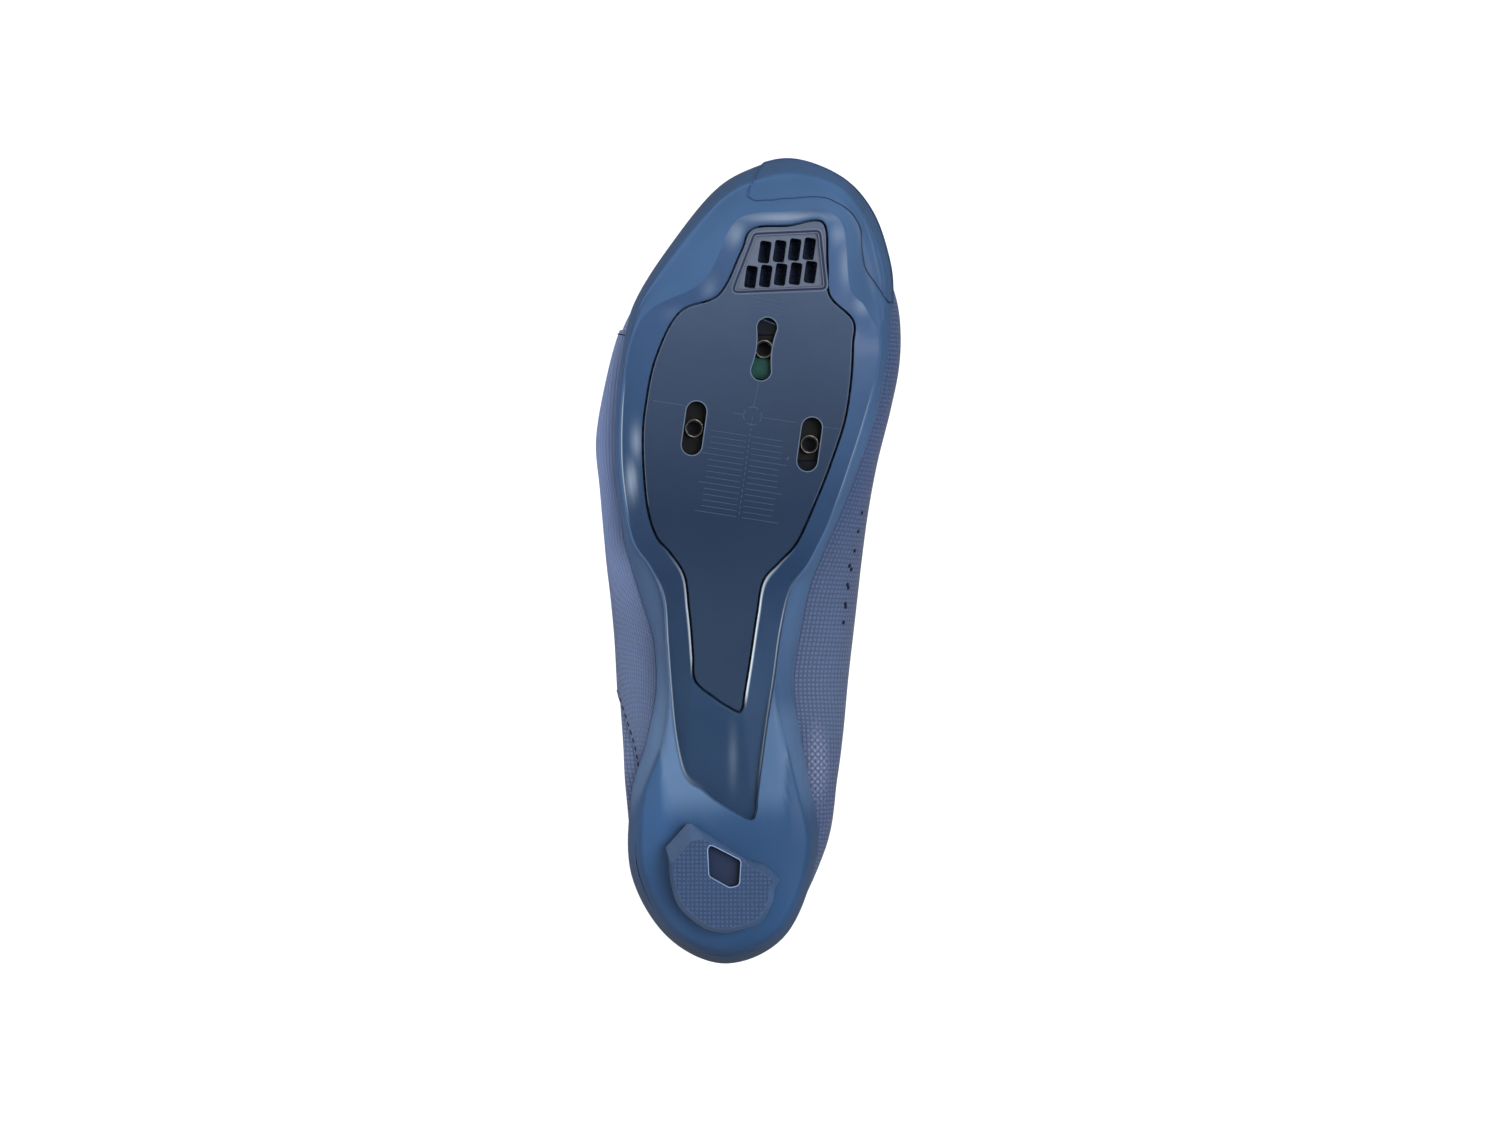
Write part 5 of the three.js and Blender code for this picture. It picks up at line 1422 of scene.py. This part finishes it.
def over_top(at, outer_up, inner_up, part):
    """Turn and height share on the way from the outer side over the top to the inner side."""
    gone = part * (2 - outer_up - inner_up)
    outer_part = gone <= 1 - outer_up
    turn = np.where(outer_part, at, RING_ROWS - at)
    return turn, np.where(outer_part, outer_up + gone, 2 - outer_up - gone)


def make_flap(name, place, low, high, size, edge, counts, material, replaces):
    along = edge_steps(size[0], edge, counts[0])
    across = edge_steps(size[1], edge, counts[1])
    (top, bottom), uv = flap_rows(place, low, high, along, across, edge)
    mesh = bmesh.new()
    lay_sheet(mesh, top, uv=uv)
    lay_sheet(mesh, bottom, uv=uv)
    return finish_piece(name, mesh, [material], replaces, sharp=60)


TONGUE = {"front": 12.4, "rear": 2.6, "up": 0.66, "taper": 0.12}
TONGUE_SIZE = (150, 62)
TONGUE_EDGE = 2.2


def make_tongue(material):
    def place(u, v):
        at = TONGUE["front"] + (TONGUE["rear"] - TONGUE["front"]) * u
        narrow = TONGUE["up"] + TONGUE["taper"] * (1 - u)
        return over_top(at, narrow, narrow, v)

    high = -(UPPER_WALL + 3 * CLEARANCE)
    return make_flap("tongue_pad", place, high - TONGUE_THICKNESS, high, TONGUE_SIZE, TONGUE_EDGE, (60, 40),
                     material, "tongue")


STRAPS = [
    {"name": "strap_front", "at": 10.75, "outer_up": 0.42, "inner_up": 0.5},
    {"name": "strap_middle", "at": 8.55, "outer_up": 0.42, "inner_up": 0.5},
    {"name": "strap_instep", "at": 6.05, "outer_up": 0.40, "inner_up": 0.5},
]
STRAP_REACH = 104
STRAP_EDGE = 0.7
STRAP_SEAM = 1.7
CROSS_SEAM = 12      # from the end seam to the second row of stitches across the strap


def strap_half(at):
    spacing = sum(float(plan_point("wide", turn + 0.5)[0] - plan_point("wide", turn - 0.5)[0]) * sign
                  for turn, sign in ((at, 1), (RING_ROWS - at, -1))) / 2
    return STRAP_WIDTH / 2 / spacing


def make_strap(strap, material, thread):
    half = strap_half(strap["at"])

    def place(u, v):
        return over_top(strap["at"] - half + 2 * half * u, strap["outer_up"], strap["inner_up"], v)

    make_flap(strap["name"] + "_band", place, CLEARANCE, CLEARANCE + STRAP_THICKNESS,
              (STRAP_WIDTH, STRAP_REACH), STRAP_EDGE, (14, 70), material, strap["name"])
    mesh = bmesh.new()
    near, far, last = STRAP_SEAM, STRAP_WIDTH - STRAP_SEAM, STRAP_REACH - STRAP_SEAM
    lines = [((near, near), (near, last)), ((far, near), (far, last))]
    lines += [((near, along), (far, along)) for along in (near, last, near + CROSS_SEAM)]
    for start, end in lines:
        start, end = np.array(start), np.array(end)
        count = max(2, int(np.linalg.norm(end - start) / STITCH_PITCH))
        for k in range(count):
            spots = [start + (end - start) * (k + part) / count for part in (0.12, 0.88)]
            line = []
            for spot in spots:
                turn, up = place(np.array(spot[0] / STRAP_WIDTH), np.array(spot[1] / STRAP_REACH))
                turn, up = np.atleast_1d(turn), np.atleast_1d(up)
                relief = crease_relief(turn, up) * 0.5
                line.append(Vector(skin(turn, up, relief + CLEARANCE + STRAP_THICKNESS + 0.05)[0]))
            stitch(mesh, *line)
    return finish_piece(strap["name"] + "_thread", mesh, [thread], None, merge=False)


STITCH_PITCH = 2.6
STITCH_RADIUS = 0.26


def stitch(mesh, start, end):
    """One stitch: a small thread capsule between two points."""
    along = end - start
    made = bmesh.ops.create_uvsphere(mesh, u_segments=6, v_segments=4, radius=1)["verts"]
    turned = along.to_track_quat("Z", "Y").to_matrix().to_4x4()
    scale = Matrix.Diagonal((STITCH_RADIUS, STITCH_RADIUS, along.length / 2, 1))
    bmesh.ops.transform(mesh, matrix=Matrix.Translation((start + end) / 2) @ turned @ scale, verts=made)


OVERLAY = {"front": 13.1, "rear": 2.9, "slant": 2.2, "low": -0.96, "high": 0.1}
OVERLAY_SIZE = (128, 32)
OVERLAY_SEAM = 1.8
OVERLAY_ROOT = -0.35     # its edges reach this far into the leather
SEAM_STITCHES = 13


def overlay_place(u, v):
    """Turn and height share of a place on the overlay."""
    rear = OVERLAY["rear"] + OVERLAY["slant"] * v
    return rear + (OVERLAY["front"] - rear) * u, OVERLAY["low"] + (OVERLAY["high"] - OVERLAY["low"]) * v


def make_overlay(material, thread):
    """The stiff overlay at the outer quarter, a crisp step on the leather."""
    length, height = OVERLAY_SIZE
    along = edge_steps(length, 1.0, 110)
    across = edge_steps(height, 1.0, 24)
    u = (along / length)[:, None] * np.ones(len(across))[None]
    v = (across / height)[None] * np.ones(len(along))[:, None]
    turn, up = overlay_place(u, v)
    near = np.minimum(np.minimum(u, 1 - u) * length, np.minimum(v, 1 - v) * height)
    rise = round_edge(near / 0.5)
    points = skin(turn, up, OVERLAY_ROOT + (OVERLAY_THICKNESS - OVERLAY_ROOT) * rise)
    base = skin(turn, up, np.full(turn.shape, OVERLAY_ROOT))
    steps = [np.linalg.norm(np.diff(points, axis=axis), axis=2).cumsum(axis) for axis in (0, 1)]
    girth = np.stack([np.pad(steps[0], ((1, 0), (0, 0))), np.pad(steps[1], ((0, 0), (1, 0)))], -1)
    shades = upper_shades(points)
    mesh = bmesh.new()
    lay_sheet(mesh, points, uv=girth, shades=shades)
    lay_sheet(mesh, base, uv=girth, shades=shades)
    finish_piece("overlay_outer", mesh, [material], None, sharp=60)
    mesh = bmesh.new()
    inset = OVERLAY_SEAM / length
    for u in (inset, 1 - inset):
        for k in range(SEAM_STITCHES):
            ends = []
            for part in (0.1, 0.75):
                turn, up = overlay_place(u, 0.02 + 0.9 * (k + part) / SEAM_STITCHES)
                ends.append(Vector(skin(np.array([turn]), np.array([up]), OVERLAY_THICKNESS + 0.02)[0]))
            stitch(mesh, *ends)
    return finish_piece("overlay_stitches", mesh, [thread], None, merge=False)


INSOLE_EDGE = 0.035     # share of the width over which its edges are rounded


def make_insole(material):
    """A foam sheet on the footbed, hollowed a little under the foot."""
    ats = np.linspace(0.0, TOE_ROW, 130)
    across = edge_steps(1.0, INSOLE_EDGE, 22)
    inset = -(RIM_THICKNESS + 2 * CLEARANCE + UPPER_WALL)
    first = beside("rim", ats, inset)
    second = beside("rim", (RING_ROWS - ats) % RING_ROWS, inset)
    plan = first[:, None] + (second - first)[:, None] * across[None, :, None]
    swell = round_edge(np.minimum(across, 1 - across) / INSOLE_EDGE)[None]
    swell = swell * ease(0, 0.4, ats)[:, None] * ease(TOE_ROW, TOE_ROW - 0.4, ats)[:, None]
    bed = tread(plan[..., 0]) + SOLE_THICKNESS + CLEARANCE
    cup = 0.35 * (2 * np.abs(across - 0.5)) ** 3
    middle = bed + INSOLE_THICKNESS / 2
    mesh = bmesh.new()
    lay_sheet(mesh, raised_to(plan, middle + swell * (INSOLE_THICKNESS / 2 - 0.35 + cup)), uv=plan)
    lay_sheet(mesh, raised_to(plan, middle - swell * INSOLE_THICKNESS / 2), uv=plan)
    return finish_piece("insole_sheet", mesh, [material], "insole", sharp=60)


# Small round holes in the inner quarter, by their plan places
PUNCHED = [(143.0, 36.3), (137.2, 35.1), (131.0, 34.1), (126.4, 31.6), (125.0, 33.3), (120.4, 31.0),
           (119.2, 32.6), (114.3, 30.3), (113.1, 32.0), (108.2, 30.0)]
HOLE_RADIUS = 0.78
HOLE_DEPTH = 0.3


def make_punched_holes(material):
    """Shallow cups where the inner quarter is punched, painted near-black as the shadow inside the holes."""
    grid_turn, grid_up = np.meshgrid(np.linspace(22, 31, 700), np.linspace(-0.85, -0.3, 160))
    grid = skin_point(grid_turn, grid_up)
    mesh = bmesh.new()
    for place in PUNCHED:
        distance = np.linalg.norm(grid[..., :2] - place, axis=-1)
        row, column = np.unravel_index(np.argmin(distance), distance.shape)
        turn = np.array([grid_turn[row, column]])
        up = np.array([grid_up[row, column]])
        middle = Vector(skin(turn, up, crease_relief(turn, up) + 0.05)[0])
        square = Vector(skin_normal(turn, up)[0])
        cup = bmesh.ops.create_cone(mesh, cap_ends=True, cap_tris=False, segments=14, radius1=HOLE_RADIUS,
                                    radius2=HOLE_RADIUS * 0.8, depth=HOLE_DEPTH)["verts"]
        turned = square.to_track_quat("Z", "Y").to_matrix().to_4x4()
        bmesh.ops.transform(mesh, matrix=Matrix.Translation(middle - square * 0.1) @ turned, verts=cup)
    return finish_piece("punched_holes", mesh, [material], None, merge=False)


# The whole shoe

# The shell is polished and glossy. The plate comes from a spark-eroded tool, with a soft even sheen.
shell_finish = moulded_nylon(
    "nylon_moulded_gloss", 0.34, {"Scale": 45.0, "Detail": 5.0}, {"Scale": 900.0, "Detail": 3.0},
    0.00002, 0.5, polish=(0.28, 0.42), Coat_Weight=0.15, Coat_Roughness=0.12, Specular_IOR_Level=0.3)
plate_finish = moulded_nylon(
    "nylon_moulded_satin", 0.42, {"Scale": 30.0, "Detail": 6.0, "Roughness": 0.6},
    {"Scale": 1500.0, "Detail": 2.0}, 0.00003, 0.6, Coat_Weight=0.05, Coat_Roughness=0.2,
    Specular_IOR_Level=0.25)
leather = embossed_leather()
lining = knitted("polyester_knit_lining", "#33415f", pitch=1.6)
tongue_knit = knitted("polyester_knit_tongue", "#4a597c", pitch=2.2)
insole_knit = knitted("foam_with_knit_cover", "#2c3a58", pitch=1.2)
strap_weave = webbing("polyester_webbing_twill", "#46567a")
thread = plain_finish("polyester_thread_twisted", "#5d6c92", 0.6, scale=900.0)
seam_thread = plain_finish("polyester_thread_dark", "#141a2c", 0.7, scale=900.0)
toe_rubber = grip_rubber("polyurethane_toe_fine_grain", pitch=0.9, height=0.00005)
heel_rubber = grip_rubber("polyurethane_heel_squares", pitch=1.35, height=0.0002)
heel_plain = plain_finish("polyurethane_heel_smooth", "#374c6b", 0.45)
# The rhombus rim's pale paint is a painted highlight, and the hollow floor's dark paint a painted shade
lug_rim_highlight_paint = plain_finish("polyurethane_heel_lug_rim_painted_highlight", "#7488a6", 0.4)
hollow_floor_shade_paint = plain_finish("polyurethane_hollow_floor_painted_shade", "#16233d", 0.6)
black_steel = plain_finish("steel_black_oxide", "#0b0c0e", 0.45, Specular_IOR_Level=0.4)
rim_steel = plain_finish("steel_turned_oiled", "#e2dcd2", 0.3, Metallic=1.0, scale=400.0)
mark_finish = plain_finish("nylon_marks_raised", "#36475f", 0.35)
green_board = plain_finish("fibre_board_pressed", "#123a35", 0.7, scale=500.0)
# The holes' near-black is painted shadow
hole_shadow_paint = plain_finish("punched_hole_painted_shadow", "#0b0f1c", 0.9)

make_outsole(shell_finish)
make_sole_plate(plate_finish)
make_marks(mark_finish)
make_toe_grip(toe_rubber)
make_heel_pad(heel_rubber, heel_plain, hollow_floor_shade_paint, lug_rim_highlight_paint)
bevelled_copy("nut_plate_steel", "cleat_nut_plate", black_steel, 0.12)
make_nut_collars(rim_steel, black_steel)
make_slot_board(green_board)
make_upper(leather, lining)
make_overlay(leather, seam_thread)
make_tongue(tongue_knit)
for strap in STRAPS:
    make_strap(strap, strap_weave, thread)
make_insole(insole_knit)
make_punched_holes(hole_shadow_paint)

set_stage()
set_camera()
floor_part = bpy.data.collections.new("floor_part")
shoe_part = bpy.data.collections.new("shoe_part")
for part in bpy.context.scene.objects:
    if part.type == "MESH":
        (floor_part if part.name == "floor" else shoe_part).objects.link(part)
set_sun("floor_sky", Vector((0, 0, 1)), 20, 3.7, floor_part)
set_sun("shoe_sky", Vector((0.1, -0.75, 1)), 50, 4.0, shoe_part)
set_light("front_upper", (0.3, 0.62, -1.0), 1.7, (1.0, 0.25), 4)
set_light("toe_side", (1.0, 0.35, -0.9), 1.6, (0.25, 0.5), 1.5)
bpy.context.scene.view_settings.view_transform = "Standard"
